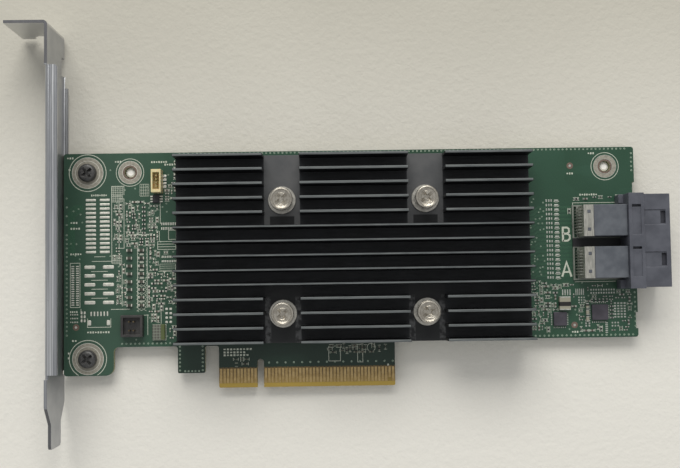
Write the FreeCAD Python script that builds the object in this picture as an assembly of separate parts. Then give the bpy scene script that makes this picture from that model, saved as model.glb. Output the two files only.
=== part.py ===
import FreeCAD, Part
import math
import os

# Low-profile storage controller card on a full-height bracket, component side up.
# Millimetres. The origin is on the finger edge, at the middle of the key slot, on the
# component face. +X runs from the bracket to the cable sockets, +Y from the finger edge
# to the top edge, +Z out of the component face.

os.makedirs("parts", exist_ok=True)
V = FreeCAD.Vector

# ---- circuit board ----
BOARD_LENGTH = 167.65
BOARD_HEIGHT = 68.90
BOARD_THICKNESS = 1.57
KEY_FROM_LEFT = 57.15
LOWER_EDGE = 13.0
LEFT_LOWER_EDGE = 12.2
LOBE_WIDTH = 14.5
LOBE_BELOW_SCREW = 4.9
GUIDE_TAB_GAP = 4.05
GUIDE_TAB_WIDTH = 7.9
GUIDE_TAB_FOOT = 4.4
OUTER_CORNER_RADIUS = 0.8
INNER_CORNER_RADIUS = 1.5
LOBE_CORNER_RADIUS = 2.4
TAB_ROOT_RADIUS = 0.75
TAB_CORNER_RADIUS = 0.4
SNAP_OFF_DEPTH = 0.6
SNAP_OFF_LENGTH = 4.7
SNAP_OFF_BELOW_TOP = 10.5
SNAP_OFF_ABOVE_LOWER = 2.5

# ---- gold fingers ----
PINS_LEFT_OF_KEY = 11
PINS_RIGHT_OF_KEY = 38
PIN_PITCH = 1.0
PIN_TO_KEY_CENTRE = 1.5
PAD_WIDTH = 0.7
PAD_LENGTH = 4.2
PAD_THICKNESS = 0.05
SHORT_PAD_SETBACK = 1.1
PAD_TO_TAB_EDGE = 0.6
KEY_WIDTH = 1.9
KEY_HEIGHT = 8.2
BEVEL_HEIGHT = 1.3
BEVEL_DEPTH = 0.42

# ---- board holes ----
TOP_HOLE_INSET = 5.7
TOOLING_HOLE_RADIUS = 1.55
TOOLING_HOLE_FROM_LEFT = 19.4
TOOLING_HOLE_FROM_RIGHT = 8.55
BRACKET_SCREW_INSET = 7.0
LOWER_SCREW_UP = 8.9

# ---- bracket: one folded steel sheet ----
SHEET = 0.86
BRACKET_WIDTH = 18.42
BRACKET_LENGTH = 120.02
TAB_LENGTH = 11.43
TONGUE_BELOW_FINGERS = 15.38
PLATE_TO_BOARD_EDGE = 0.44
BEND_RADIUS = 1.3
HIGH_FLANGE_DEPTH = 3.65
LOW_FLANGE_DEPTH = 2.1
FLANGE_TOP_BELOW_TAB = 12.6
LOW_FLANGE_TOP_DROP = 3.4
FLANGE_BELOW_SCREW = 3.3
FLANGE_CORNER = 1.0
RELIEF_WIDTH = 1.2
RELIEF_DEPTH = 1.6
NECK_HEIGHT = 5.4
NECK_CUT = 3.2
TAPER_LENGTH = 5.0
TONGUE_LENGTH = 6.98
TONGUE_WIDTH = 10.19
TONGUE_CORNER = 1.2
NOTCH_WIDTH = 4.42
NOTCH_DEPTH = 3.2
NOTCH_LEG = 4.0
EAR_WIDTH = 9.4
EAR_CORNER = 4.2
COLLAR_RADIUS = 2.35
COLLAR_DROP = 0.9

# ---- turned fasteners ----
TURNED_SIDES = 20
SCREW_HEAD_RADIUS = 2.7
SCREW_HEAD_TOP_RADIUS = 1.9
SCREW_HEAD_HEIGHT = 1.9
SCREW_HEAD_RIM = 0.95
SCREW_SHANK_RADIUS = 1.46
SCREW_LENGTH = 3.9
THREAD_CLEARANCE = 0.05
SCREW_HOLE_CLEARANCE = 0.15
RECESS_SPAN = 3.3
RECESS_FOOT_SPAN = 1.1
RECESS_WIDTH = 0.75
RECESS_DEPTH = 1.1
RECESS_TURN = 45

# ---- heat sink ----
SINK_FROM_LEFT = 33.45
SINK_FROM_RIGHT = 32.0
SINK_FOOT = 13.0
FIN_COUNT = 14
FIN_PITCH = 4.09
FIN_ROOT = 0.95
FIN_TIP = 0.65
FIN_HEIGHT = 7.2
SINK_BASE = 2.0
SINK_UNDERSIDE = 2.75
PEDESTAL_SIZE = 30.0
PEDESTAL_DROP = 0.25
SCREW_POCKET_WIDTH = 10.35
TOP_POCKET_FINS = 5
LOW_POCKET_FINS = 4

# ---- heat sink fixings ----
SINK_SCREW_SPACING_X = 41.4
SINK_SCREW_SPACING_Y = 32.6
CHIP_INSIDE_SINK = 51.35
CHIP_ABOVE_SINK_FOOT = 24.7
SHOULDER_RADIUS = 1.8
SHOULDER_CLEARANCE = 0.25
SINK_HEAD_RADIUS = 3.25
SINK_HEAD_HEIGHT = 2.1
SINK_HEAD_EDGE = 0.45
SINK_HEAD_ABOVE_BASE = 4.1
WASHER_RADIUS = 4.0
WASHER_THICKNESS = 0.4
SPRING_RADIUS = 2.55
SPRING_WIRE = 0.3
SPRING_TURNS = 3.5
SPRING_STEPS_PER_TURN = 10
SEAT_CLEARANCE = 0.05
NUT_RADIUS = 3.2
NUT_HEIGHT = 1.2
NUT_THREAD_RADIUS = 1.3
THREAD_SHORT_OF_NUT = 0.25

# ---- controller chip ----
CHIP_SIZE = 27.0
CHIP_SUBSTRATE = 1.2
CHIP_STANDOFF = 0.3
LID_SIZE = 24.0
LID_HEIGHT = 0.7
LID_EDGE = 0.3

# ---- twin cable socket on the right edge ----
SOCKET_OVERHANG = 7.15
SOCKET_DEPTH = 7.4
SOCKET_CENTRE_UP = 40.8
SOCKET_DROP = 0.9
SOCKET_BOARD_GAP = 0.3
FLANGE_DEPTH = 4.4
FLANGE_OVERSIZE = 0.35
FLANGE_RISE = 0.3
PORT_WIDTH = 10.9
PORT_DIVIDER = 1.15
PORT_SIDE_WALL = 1.825
PORT_FLOOR = 1.3
PORT_HEIGHT = 6.9
PORT_ROOF = 1.3
LATCH_WINDOW_LENGTH = 1.4
LATCH_WINDOW_WIDTH = 3.6
LATCH_WINDOW_FROM_FRONT = 1.25
LATCH_WINDOW_OFFSET = 0.6
CHANNEL_WIDTH = 4.3
CHANNEL_DEPTH = 0.3
FLANGE_RECESS_LENGTH = 8.6
FLANGE_RECESS_WIDTH = 2.6
FLANGE_RECESS_DEPTH = 0.35
FLANGE_SLOT_WIDTH = 0.7
FLANGE_SLOT_FLOOR = 0.4
LUG_WIDTH = 2.6
LUG_HEIGHT = 4.2
LUG_REACH = 1.3

# ---- contact modules behind the sockets ----
MODULE_LENGTH = 12.3
MODULE_SIDE_GAP = 0.925
MODULE_HEIGHT = 7.9
MODULE_CLEARANCE = 0.1
CAP_LENGTH = 9.6
CAP_RISE = 0.5
CAP_BEVEL = 0.2
NOSE_LENGTH = 5.0
NOSE_HEIGHT = 6.3
SLOT_HEIGHT = 0.9
SLOT_DEPTH = 3.0
SLOT_SIDE_WALL = 0.625
SLOT_SPREAD = 3.0
CLIP_SHEET = 0.2
CLIP_WINDOW = 0.95
CLIP_WINDOW_SPACING = 5.1
CLIP_SKIRT = 1.5
TRAY_THICKNESS = 0.7
TRAY_MARGIN = 0.75
TRAY_SLOT_WIDTH = 0.75
CONTACTS_PER_ROW = 9
CONTACT_EDGE = 0.325
CONTACT_WIDTH = 0.35
CONTACT_SHEET = 0.2
BLADE_SETBACK = 0.3
TAIL_REACH = 1.0
TAIL_HEIGHT = 5.6
TAIL_BEND = 0.5

# ---- small connectors ----
CABLE_HEADER_FROM_LEFT = 26.2
CABLE_HEADER_BELOW_TOP = 5.25
CABLE_HEADER_WIDTH = 2.85
CABLE_HEADER_LENGTH = 6.7
CABLE_HEADER_HEIGHT = 4.2
CABLE_HEADER_WALL = 0.45
CABLE_HEADER_END_WALL = 0.9
CABLE_HEADER_WELL = 3.2
CABLE_HEADER_PIN_COUNT = 4
CABLE_HEADER_PITCH = 1.04
PIN_WIDTH = 0.4
PIN_BELOW_RIM = 0.5
CABLE_LEAD_REACH = 1.0
SERVICE_HEADER_FROM_LEFT = 17.0
SERVICE_HEADER_UP = 15.2
SERVICE_HEADER_SIZE = 6.3
SERVICE_HEADER_HEIGHT = 2.6
SERVICE_HEADER_WALL = 0.7
SERVICE_HEADER_WELL = 1.4
SERVICE_PIN_PITCH = 1.27
SERVICE_PIN_RISE = 3.2
SERVICE_PINS_PER_ROW = 2

# ---- chips ----
MOULD_BEVEL = 0.12
SMALL_CHIP_BODY = (2.0, 2.3, 0.9)
SMALL_CHIP_LEAD_COUNT = 3
SMALL_CHIP_PITCH = 0.75
SMALL_CHIP_FROM_LEFT = 27.15
SMALL_CHIP_BELOW_TOP = 13.6
FLASH_CHIP_BODY = (5.3, 5.2, 1.4)
FLASH_CHIP_LEAD_COUNT = 4
FLASH_CHIP_PITCH = 1.27
FLASH_INSIDE_SINK = 12.0
FLASH_ABOVE_LOWER = 24.0
LEAD_WIDTH = 0.35
LEAD_SHEET = 0.18
LEAD_REACH = 0.8
LEAD_FOOT = 0.48
CHIP_GAP = 0.12
POWER_CHIP_LARGE = (4.7, 4.5, 0.85)
POWER_LARGE_FROM_RIGHT = 11.25
POWER_LARGE_UP = 7.35
POWER_CHIP_SMALL = (3.8, 4.0, 0.85)
POWER_SMALL_FROM_RIGHT = 22.95
POWER_SMALL_UP = 5.55
OSCILLATOR_BODY = (3.6, 4.5, 1.0)
OSCILLATOR_FROM_LEFT = 27.7
OSCILLATOR_UP = 3.45

# ---- two-terminal parts ----
PART_STANDOFF = 0.03
TERMINAL_LENGTH = 0.3
CAPACITOR_SMALL = (1.6, 0.8, 0.8)
CAPACITOR_BULK = (3.9, 3.2, 1.7)
RESISTOR = (1.0, 0.5, 0.35)
FIELD_FROM_LEFT = 19.2
FIELD_UP = 11.3
FIELD_PITCH = 2.29
FIELD_ROW_COUNT = 8
FIELD_COLUMN_GAP = 3.5
PAIR_PITCH = 0.95
PAIR_FROM_FIELD = 1.3
PAIR_UPS = (33.6, 36.9)
UPPER_PAIR_UP = 29.7
EDGE_COLUMN_FROM_FIELD = 4.2
EDGE_COLUMN_UP = 32.4
EDGE_COLUMN_PITCH = 1.25
EDGE_COLUMN_COUNT = 7
BULK_FROM_RIGHT = 21.6
BULK_UP = 10.1
CHIP_DECOUPLING_GAP = 1.2
CHIP_DECOUPLING_SPREAD = 10.0
POWER_CAPACITOR_GAP = 0.9
POWER_CAPACITOR_PITCH = 1.9
POWER_CAPACITOR_COUNT = 3
POWER_RESISTOR_GAP = 1.2
POWER_RESISTOR_PITCH = 1.1
POWER_ROW_COUNT = 5
POWER_COLUMN_COUNT = 4

# ---- cutters ----
OVERSHOOT = 1.0

# ---- places worked out from the sizes above ----
LEFT = -KEY_FROM_LEFT
RIGHT = LEFT + BOARD_LENGTH
TOP = BOARD_HEIGHT
UNDERSIDE = -BOARD_THICKNESS
HOLE_ROW = TOP - TOP_HOLE_INSET
PLATE_INNER = LEFT - PLATE_TO_BOARD_EDGE
PLATE_OUTER = PLATE_INNER - SHEET
BRACKET_LOW = UNDERSIDE - SHEET
BRACKET_HIGH = BRACKET_LOW + BRACKET_WIDTH
TONGUE_END = -TONGUE_BELOW_FINGERS
TAB_TOP = TONGUE_END + BRACKET_LENGTH
FLANGE_TOP = TAB_TOP - FLANGE_TOP_BELOW_TAB
SINK_LEFT = LEFT + SINK_FROM_LEFT
SINK_LENGTH = BOARD_LENGTH - SINK_FROM_LEFT - SINK_FROM_RIGHT
SINK_WIDTH = (FIN_COUNT - 1) * FIN_PITCH + FIN_ROOT
SINK_FLOOR = SINK_UNDERSIDE + SINK_BASE
CHIP_X = SINK_LEFT + CHIP_INSIDE_SINK
CHIP_Y = SINK_FOOT + CHIP_ABOVE_SINK_FOOT
SINK_HEAD_UNDERSIDE = SINK_FLOOR + SINK_HEAD_ABOVE_BASE
FRONT = RIGHT + SOCKET_OVERHANG
SOCKET_REAR = FRONT - SOCKET_DEPTH
FLANGE_REAR = SOCKET_REAR - FLANGE_DEPTH
MODULE_REAR = FLANGE_REAR - MODULE_LENGTH
PORT_PITCH = PORT_WIDTH + PORT_DIVIDER
SOCKET_WIDTH = PORT_PITCH + PORT_WIDTH + 2 * PORT_SIDE_WALL
SOCKET_HEIGHT = PORT_FLOOR + PORT_HEIGHT + PORT_ROOF
MODULE_WIDTH = PORT_WIDTH - 2 * MODULE_SIDE_GAP
SLOT_WIDTH = MODULE_WIDTH - 2 * SLOT_SIDE_WALL
CONTACT_PITCH = (SLOT_WIDTH - 2 * CONTACT_EDGE - CONTACT_WIDTH) / (CONTACTS_PER_ROW - 1)
LUG_INNER_LOW = SOCKET_CENTRE_UP - SOCKET_WIDTH / 2 - FLANGE_OVERSIZE + LUG_WIDTH
LUG_INNER_HIGH = SOCKET_CENTRE_UP + SOCKET_WIDTH / 2 + FLANGE_OVERSIZE - LUG_WIDTH
PORT_CENTRES = {"a": SOCKET_CENTRE_UP - PORT_PITCH / 2, "b": SOCKET_CENTRE_UP + PORT_PITCH / 2}
SCREW_X = LEFT + BRACKET_SCREW_INSET
SCREW_PLACES = [(SCREW_X, HOLE_ROW), (SCREW_X, LOWER_SCREW_UP)]
LOBE_FOOT = LOWER_SCREW_UP - LOBE_BELOW_SCREW
FLANGE_FOOT = LOWER_SCREW_UP - FLANGE_BELOW_SCREW
POWER_X = RIGHT - POWER_LARGE_FROM_RIGHT
POWER_Y = LOWER_EDGE + POWER_LARGE_UP
SINK_SCREW_PLACES = [
    (CHIP_X + side * SINK_SCREW_SPACING_X / 2, CHIP_Y + row * SINK_SCREW_SPACING_Y / 2)
    for side in (-1, 1)
    for row in (-1, 1)
]


# ---- shared operations ----
def save(name, solids):
    """Write one named sub-part, a single solid or a group of like solids."""
    solids = solids if isinstance(solids, list) else [solids]
    shape = solids[0] if len(solids) == 1 else Part.makeCompound(solids)
    shape.exportStep("parts/" + name + ".step")


def block(x0, x1, y0, y1, z0, z1):
    """Box between two opposite corners."""
    return Part.makeBox(x1 - x0, y1 - y0, z1 - z0, V(x0, y0, z0))


def centred_block(x, y, size, z0):
    """Box of size (x, y, z), centred on (x, y) and standing on z0."""
    return Part.makeBox(size[0], size[1], size[2], V(x - size[0] / 2, y - size[1] / 2, z0))


def rod(x, y, z0, z1, radius):
    """Upright cylinder."""
    return Part.makeCylinder(radius, z1 - z0, V(x, y, z0))


def rounded_face(corners):
    """Flat face through (x, y, radius) corners, each turned by a tangent arc.

    An arc that its two edges have no room for is made as large as they allow.
    """
    edges = []
    last_end = None
    first_start = None
    for i, (x, y, radius) in enumerate(corners):
        here = V(x, y, 0)
        sides = []
        room = []
        for other_x, other_y, other_radius in (corners[i - 1], corners[(i + 1) % len(corners)]):
            side = V(other_x, other_y, 0) - here
            room.append(side.Length / 2 if other_radius else side.Length)
            sides.append(side.normalize())
        before, after = sides
        start = end = here
        if radius > 0:
            half = before.getAngle(after) / 2
            radius = min(radius, min(room) * math.tan(half))
            inward = (before + after).normalize()
            start = here + before * (radius / math.tan(half))
            end = here + after * (radius / math.tan(half))
            middle = here + inward * (radius / math.sin(half) - radius)
        if last_end is None:
            first_start = start
        else:
            edges.append(Part.makeLine(last_end, start))
        if radius > 0:
            edges.append(Part.Arc(start, middle, end).toShape())
        last_end = end
    edges.append(Part.makeLine(last_end, first_start))
    return Part.Face(Part.Wire(edges))


def on_side(face, x):
    """Turn a face drawn in (z, y) upright, so that it lies in the plane at x."""
    face = face.copy()
    face.rotate(V(0, 0, 0), V(0, 1, 0), -90)
    face.translate(V(x, 0, 0))
    return face


def on_end(face, y):
    """Turn a face drawn in (x, z) upright, so that it lies in the plane at y."""
    face = face.copy()
    face.rotate(V(0, 0, 0), V(1, 0, 0), 90)
    face.translate(V(0, y, 0))
    return face


def bevelled_top(solid, bevel):
    """Bevel the edges all round the top face of a solid."""
    top = solid.BoundBox.ZMax
    rim = [edge for edge in solid.Edges if edge.BoundBox.ZMin > top - bevel / 2]
    return solid.makeChamfer(bevel, rim)


def turned(profile, x, y):
    """Small turned part about the upright line at (x, y), from (radius, z) points.

    The profile runs from the top of the axis or bore, outwards and down, and back.
    Each ring of its surface is drawn with TURNED_SIDES flats.
    """
    turns = [2 * math.pi * i / TURNED_SIDES for i in range(TURNED_SIDES)]
    rims = [[V(r * math.cos(turn), r * math.sin(turn), z) for turn in turns] for r, z in profile]
    faces = []
    for here, there in zip(rims, rims[1:] + rims[:1]):
        for i in range(TURNED_SIDES):
            j = (i + 1) % TURNED_SIDES
            corners = [here[i], here[j], there[j], there[i]]
            corners = [p for k, p in enumerate(corners) if not p.isEqual(corners[k - 1], 1e-9)]
            if len(corners) > 2:
                faces.append(Part.Face(Part.makePolygon([*corners, corners[0]])))
    shell = Part.makeShell(faces)
    solid = Part.Solid(shell)
    if solid.Volume < 0:
        solid.reverse()
    solid.translate(V(x, y, 0))
    return solid


def cross_recess(x, y, z_top):
    """Cutter for a cross recess that narrows towards its foot, as a driver bit does."""
    half_top = RECESS_SPAN / 2
    half_foot = RECESS_FOOT_SPAN / 2
    side = -RECESS_WIDTH / 2
    outline = [
        V(-half_top, side, z_top),
        V(half_top, side, z_top),
        V(half_foot, side, z_top - RECESS_DEPTH),
        V(-half_foot, side, z_top - RECESS_DEPTH),
    ]
    blade = Part.Face(Part.makePolygon(outline + outline[:1])).extrude(V(0, RECESS_WIDTH, 0))
    crossing = blade.copy()
    crossing.rotate(V(0, 0, 0), V(0, 0, 1), 90)
    cutter = blade.fuse(crossing)
    cutter.rotate(V(0, 0, 0), V(0, 0, 1), RECESS_TURN)
    cutter.translate(V(x, y, 0))
    return cutter


# ---- circuit board ----
def finger_tab_ends():
    """X of the left and right sides of the finger tab."""
    left = -PIN_TO_KEY_CENTRE - (PINS_LEFT_OF_KEY - 1) * PIN_PITCH - PAD_TO_TAB_EDGE
    right = PIN_TO_KEY_CENTRE + (PINS_RIGHT_OF_KEY - 1) * PIN_PITCH + PAD_TO_TAB_EDGE
    return left, right


def board_outline():
    """The routed outline: lobe, guide tab, finger tab and the snap-off steps."""
    outer = OUTER_CORNER_RADIUS
    root = TAB_ROOT_RADIUS
    foot = TAB_CORNER_RADIUS
    tab_left, tab_right = finger_tab_ends()
    guide_right = tab_left - GUIDE_TAB_GAP
    guide_left = guide_right - GUIDE_TAB_WIDTH
    step = RIGHT - SNAP_OFF_DEPTH
    low_step = LOWER_EDGE + SNAP_OFF_ABOVE_LOWER
    high_step = TOP - SNAP_OFF_BELOW_TOP
    return rounded_face([
        (LEFT, TOP, outer),
        (LEFT, LOBE_FOOT, outer),
        (LEFT + LOBE_WIDTH, LOBE_FOOT, LOBE_CORNER_RADIUS),
        (LEFT + LOBE_WIDTH, LEFT_LOWER_EDGE, INNER_CORNER_RADIUS),
        (guide_left, LEFT_LOWER_EDGE, root),
        (guide_left, GUIDE_TAB_FOOT, foot),
        (guide_right, GUIDE_TAB_FOOT, foot),
        (guide_right, LEFT_LOWER_EDGE, root),
        (tab_left, LEFT_LOWER_EDGE, root),
        (tab_left, 0, foot),
        (tab_right, 0, foot),
        (tab_right, LOWER_EDGE, root),
        (RIGHT, LOWER_EDGE, outer),
        (RIGHT, low_step, 0),
        (step, low_step, 0),
        (step, low_step + SNAP_OFF_LENGTH, 0),
        (RIGHT, low_step + SNAP_OFF_LENGTH, 0),
        (RIGHT, high_step - SNAP_OFF_LENGTH, 0),
        (step, high_step - SNAP_OFF_LENGTH, 0),
        (step, high_step, 0),
        (RIGHT, high_step, 0),
        (RIGHT, TOP, outer),
    ])


def board_holes():
    """Every drilled hole as (x, y, radius)."""
    screw_hole = SCREW_SHANK_RADIUS + SCREW_HOLE_CLEARANCE
    holes = [(x, y, screw_hole) for x, y in SCREW_PLACES]
    for x in (LEFT + TOOLING_HOLE_FROM_LEFT, RIGHT - TOOLING_HOLE_FROM_RIGHT):
        holes.append((x, HOLE_ROW, TOOLING_HOLE_RADIUS))
    holes += [(x, y, NUT_THREAD_RADIUS + SCREW_HOLE_CLEARANCE) for x, y in SINK_SCREW_PLACES]
    return holes


def circuit_board():
    """Glass-epoxy board with the key slot, the bevelled finger edge and its holes."""
    board = board_outline().extrude(V(0, 0, -BOARD_THICKNESS))
    slot_end = KEY_HEIGHT - KEY_WIDTH / 2
    board = board.cut(block(-KEY_WIDTH / 2, KEY_WIDTH / 2, -OVERSHOOT, slot_end, UNDERSIDE, 0))
    board = board.cut(rod(0, slot_end, UNDERSIDE, 0, KEY_WIDTH / 2))
    tab_left, tab_right = finger_tab_ends()
    for face, sign in ((0, -1), (UNDERSIDE, 1)):
        wedge = Part.Face(Part.makePolygon([
            V(tab_left, 0, face),
            V(tab_left, BEVEL_HEIGHT, face),
            V(tab_left, 0, face + sign * BEVEL_DEPTH),
            V(tab_left, 0, face),
        ])).extrude(V(tab_right - tab_left, 0, 0))
        board = board.cut(wedge)
    for x, y, radius in board_holes():
        board = board.cut(rod(x, y, UNDERSIDE, 0, radius))
    return board


def edge_contacts():
    """Gold pads on both faces; the two presence-detect pads are set back."""
    xs = [-PIN_TO_KEY_CENTRE - i * PIN_PITCH for i in range(PINS_LEFT_OF_KEY)][::-1]
    xs += [PIN_TO_KEY_CENTRE + i * PIN_PITCH for i in range(PINS_RIGHT_OF_KEY)]
    half = PAD_WIDTH / 2
    head = BEVEL_HEIGHT + PAD_LENGTH
    pads = []
    for i, x in enumerate(xs):
        for base, short in ((0, i == len(xs) - 2), (UNDERSIDE - PAD_THICKNESS, i == 0)):
            foot = BEVEL_HEIGHT + (SHORT_PAD_SETBACK if short else 0)
            pads.append(block(x - half, x + half, foot, head, base, base + PAD_THICKNESS))
    return pads


# ---- bracket ----
def channel():
    """The long stretch with both flanges folded over the board."""
    inner_bend = BEND_RADIUS - SHEET
    high_tip = PLATE_OUTER + HIGH_FLANGE_DEPTH
    section = rounded_face([
        (PLATE_OUTER, BRACKET_LOW, BEND_RADIUS),
        (PLATE_OUTER, BRACKET_HIGH, BEND_RADIUS),
        (high_tip, BRACKET_HIGH, 0),
        (high_tip, BRACKET_HIGH - SHEET, 0),
        (PLATE_INNER, BRACKET_HIGH - SHEET, inner_bend),
        (PLATE_INNER, BRACKET_LOW + SHEET, inner_bend),
        (PLATE_OUTER + LOW_FLANGE_DEPTH, BRACKET_LOW + SHEET, 0),
        (PLATE_OUTER + LOW_FLANGE_DEPTH, BRACKET_LOW, 0),
    ])
    solid = on_end(section, FLANGE_TOP).extrude(V(0, FLANGE_FOOT - FLANGE_TOP, 0))
    low_top = FLANGE_TOP - LOW_FLANGE_TOP_DROP
    free_end = block(PLATE_INNER, high_tip, low_top, FLANGE_TOP, BRACKET_LOW, UNDERSIDE)
    tips = [edge for edge in solid.Edges if edge.BoundBox.XMin > high_tip - SHEET / 2]
    top_tips = [edge for edge in tips if edge.BoundBox.YMin > FLANGE_TOP - SHEET / 2]
    return solid.makeFillet(FLANGE_CORNER, top_tips).cut(free_end)


def bent_top():
    """Upper plate, its bend and the outward tab with the open screw notch."""
    tab_end = PLATE_OUTER - TAB_LENGTH
    section = rounded_face([
        (PLATE_INNER, FLANGE_TOP, 0),
        (PLATE_INNER, TAB_TOP, BEND_RADIUS),
        (tab_end, TAB_TOP, 0),
        (tab_end, TAB_TOP - SHEET, 0),
        (PLATE_OUTER, TAB_TOP - SHEET, BEND_RADIUS - SHEET),
        (PLATE_OUTER, FLANGE_TOP, 0),
    ])
    section.translate(V(0, 0, BRACKET_LOW))
    solid = section.extrude(V(0, 0, BRACKET_WIDTH))
    neck_top = FLANGE_TOP + NECK_HEIGHT
    neck_side = BRACKET_LOW + NECK_CUT
    solid = solid.cut(block(PLATE_OUTER, PLATE_INNER, FLANGE_TOP, neck_top, BRACKET_LOW, neck_side))
    x0 = tab_end + NOTCH_LEG
    x1 = x0 + NOTCH_WIDTH
    under = TAB_TOP - SHEET
    floor = BRACKET_LOW + NOTCH_DEPTH - NOTCH_WIDTH / 2
    round_end = Part.makeCylinder(NOTCH_WIDTH / 2, SHEET, V((x0 + x1) / 2, under, floor), V(0, 1, 0))
    return solid.cut(block(x0, x1, under, TAB_TOP, BRACKET_LOW - OVERSHOOT, floor)).cut(round_end)


def lower_plate():
    """Plain plate below the flanges, tapering to the tongue that enters the chassis."""
    middle = (BRACKET_LOW + BRACKET_HIGH) / 2
    half = TONGUE_WIDTH / 2
    taper_foot = TONGUE_END + TONGUE_LENGTH
    taper_top = taper_foot + TAPER_LENGTH
    outline = rounded_face([
        (BRACKET_LOW, FLANGE_FOOT, 0),
        (BRACKET_HIGH, FLANGE_FOOT, 0),
        (BRACKET_HIGH, taper_top, TONGUE_CORNER),
        (middle + half, taper_foot, TONGUE_CORNER),
        (middle + half, TONGUE_END, TONGUE_CORNER),
        (middle - half, TONGUE_END, TONGUE_CORNER),
        (middle - half, taper_foot, TONGUE_CORNER),
        (BRACKET_LOW, taper_top, TONGUE_CORNER),
    ])
    return on_side(outline, PLATE_INNER).extrude(V(-SHEET, 0, 0))


def ear(x, y):
    """Mounting ear under the board with a drawn, threaded collar."""
    half = EAR_WIDTH / 2
    root = PLATE_OUTER + LOW_FLANGE_DEPTH - SHEET
    outline = rounded_face([
        (root, y - half, 0),
        (x + half, y - half, EAR_CORNER),
        (x + half, y + half, EAR_CORNER),
        (root, y + half, 0),
    ])
    outline.translate(V(0, 0, BRACKET_LOW))
    plate = outline.extrude(V(0, 0, SHEET))
    collar = rod(x, y, BRACKET_LOW - COLLAR_DROP, BRACKET_LOW, COLLAR_RADIUS)
    bore = rod(x, y, BRACKET_LOW - COLLAR_DROP, UNDERSIDE, SCREW_SHANK_RADIUS + THREAD_CLEARANCE)
    return plate.fuse(collar).cut(bore)


def bracket():
    """Full-height mounting bracket, folded from one sheet."""
    solid = channel().fuse(bent_top()).fuse(lower_plate())
    for x, y in SCREW_PLACES:
        solid = solid.fuse(ear(x, y))
    relief_foot = FLANGE_FOOT - RELIEF_WIDTH
    for z in (BRACKET_LOW, BRACKET_HIGH - RELIEF_DEPTH):
        relief = block(PLATE_OUTER, PLATE_INNER, relief_foot, FLANGE_FOOT, z, z + RELIEF_DEPTH)
        solid = solid.cut(relief)
    return solid.removeSplitter()


def bracket_screw(x, y):
    """Pan-head cross-recess screw through the board into the ear."""
    screw = turned([
        (0, SCREW_HEAD_HEIGHT),
        (SCREW_HEAD_TOP_RADIUS, SCREW_HEAD_HEIGHT),
        (SCREW_HEAD_RADIUS, SCREW_HEAD_RIM),
        (SCREW_HEAD_RADIUS, 0),
        (SCREW_SHANK_RADIUS, 0),
        (SCREW_SHANK_RADIUS, -SCREW_LENGTH),
        (0, -SCREW_LENGTH),
    ], x, y)
    return screw.cut(cross_recess(x, y, SCREW_HEAD_HEIGHT))


# ---- heat sink ----
def fin_comb():
    """End profile of the extrusion in (y, z): a base with tapered fins."""
    points = [(SINK_FOOT, SINK_UNDERSIDE), (SINK_FOOT + SINK_WIDTH, SINK_UNDERSIDE)]
    for i in reversed(range(FIN_COUNT)):
        middle = SINK_FOOT + FIN_ROOT / 2 + i * FIN_PITCH
        points.append((middle + FIN_ROOT / 2, SINK_FLOOR))
        points.append((middle + FIN_TIP / 2, SINK_FLOOR + FIN_HEIGHT))
        points.append((middle - FIN_TIP / 2, SINK_FLOOR + FIN_HEIGHT))
        points.append((middle - FIN_ROOT / 2, SINK_FLOOR))
    corners = [V(SINK_LEFT, y, z) for y, z in points]
    return Part.Face(Part.makePolygon(corners + corners[:1]))


def screw_pockets():
    """Cutters that clear the fins around the four spring screws."""
    high_edge = SINK_FOOT + SINK_WIDTH
    kept_top = SINK_FOOT + (FIN_COUNT - 1 - TOP_POCKET_FINS) * FIN_PITCH + FIN_ROOT
    kept_low = SINK_FOOT + LOW_POCKET_FINS * FIN_PITCH
    half = SCREW_POCKET_WIDTH / 2
    above = SINK_FLOOR + FIN_HEIGHT + OVERSHOOT
    pockets = []
    for side in (-1, 1):
        x = CHIP_X + side * SINK_SCREW_SPACING_X / 2
        for y0, y1 in ((kept_top, high_edge), (SINK_FOOT, kept_low)):
            pockets.append(block(x - half, x + half, y0, y1, SINK_FLOOR, above))
    return pockets


def heatsink():
    """Black anodised extrusion with sawn pockets and a machined contact pedestal."""
    solid = fin_comb().extrude(V(SINK_LENGTH, 0, 0))
    for pocket in screw_pockets():
        solid = solid.cut(pocket)
    size = (PEDESTAL_SIZE, PEDESTAL_SIZE, PEDESTAL_DROP)
    solid = solid.fuse(centred_block(CHIP_X, CHIP_Y, size, SINK_UNDERSIDE - PEDESTAL_DROP))
    bore = SHOULDER_RADIUS + SHOULDER_CLEARANCE
    for x, y in SINK_SCREW_PLACES:
        solid = solid.cut(rod(x, y, SINK_UNDERSIDE, SINK_FLOOR, bore))
    return solid.removeSplitter()


def sink_screw(x, y):
    """Nickel-plated shoulder screw; the shoulder stops on the board."""
    low = SINK_HEAD_UNDERSIDE
    high = low + SINK_HEAD_HEIGHT
    thread = NUT_THREAD_RADIUS - SEAT_CLEARANCE
    thread_end = UNDERSIDE - NUT_HEIGHT + THREAD_SHORT_OF_NUT
    screw = turned([
        (0, high),
        (SINK_HEAD_RADIUS - SINK_HEAD_EDGE, high),
        (SINK_HEAD_RADIUS, high - SINK_HEAD_EDGE),
        (SINK_HEAD_RADIUS, low),
        (SHOULDER_RADIUS, low),
        (SHOULDER_RADIUS, 0),
        (thread, 0),
        (thread, thread_end),
        (0, thread_end),
    ], x, y)
    return screw.cut(cross_recess(x, y, high))


def washer(x, y):
    """Flat washer that spreads the spring's load on the heat sink floor."""
    bore = SHOULDER_RADIUS + SHOULDER_CLEARANCE
    top = SINK_FLOOR + WASHER_THICKNESS
    return turned([
        (bore, top),
        (WASHER_RADIUS, top),
        (WASHER_RADIUS, SINK_FLOOR),
        (bore, SINK_FLOOR),
    ], x, y)


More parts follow.
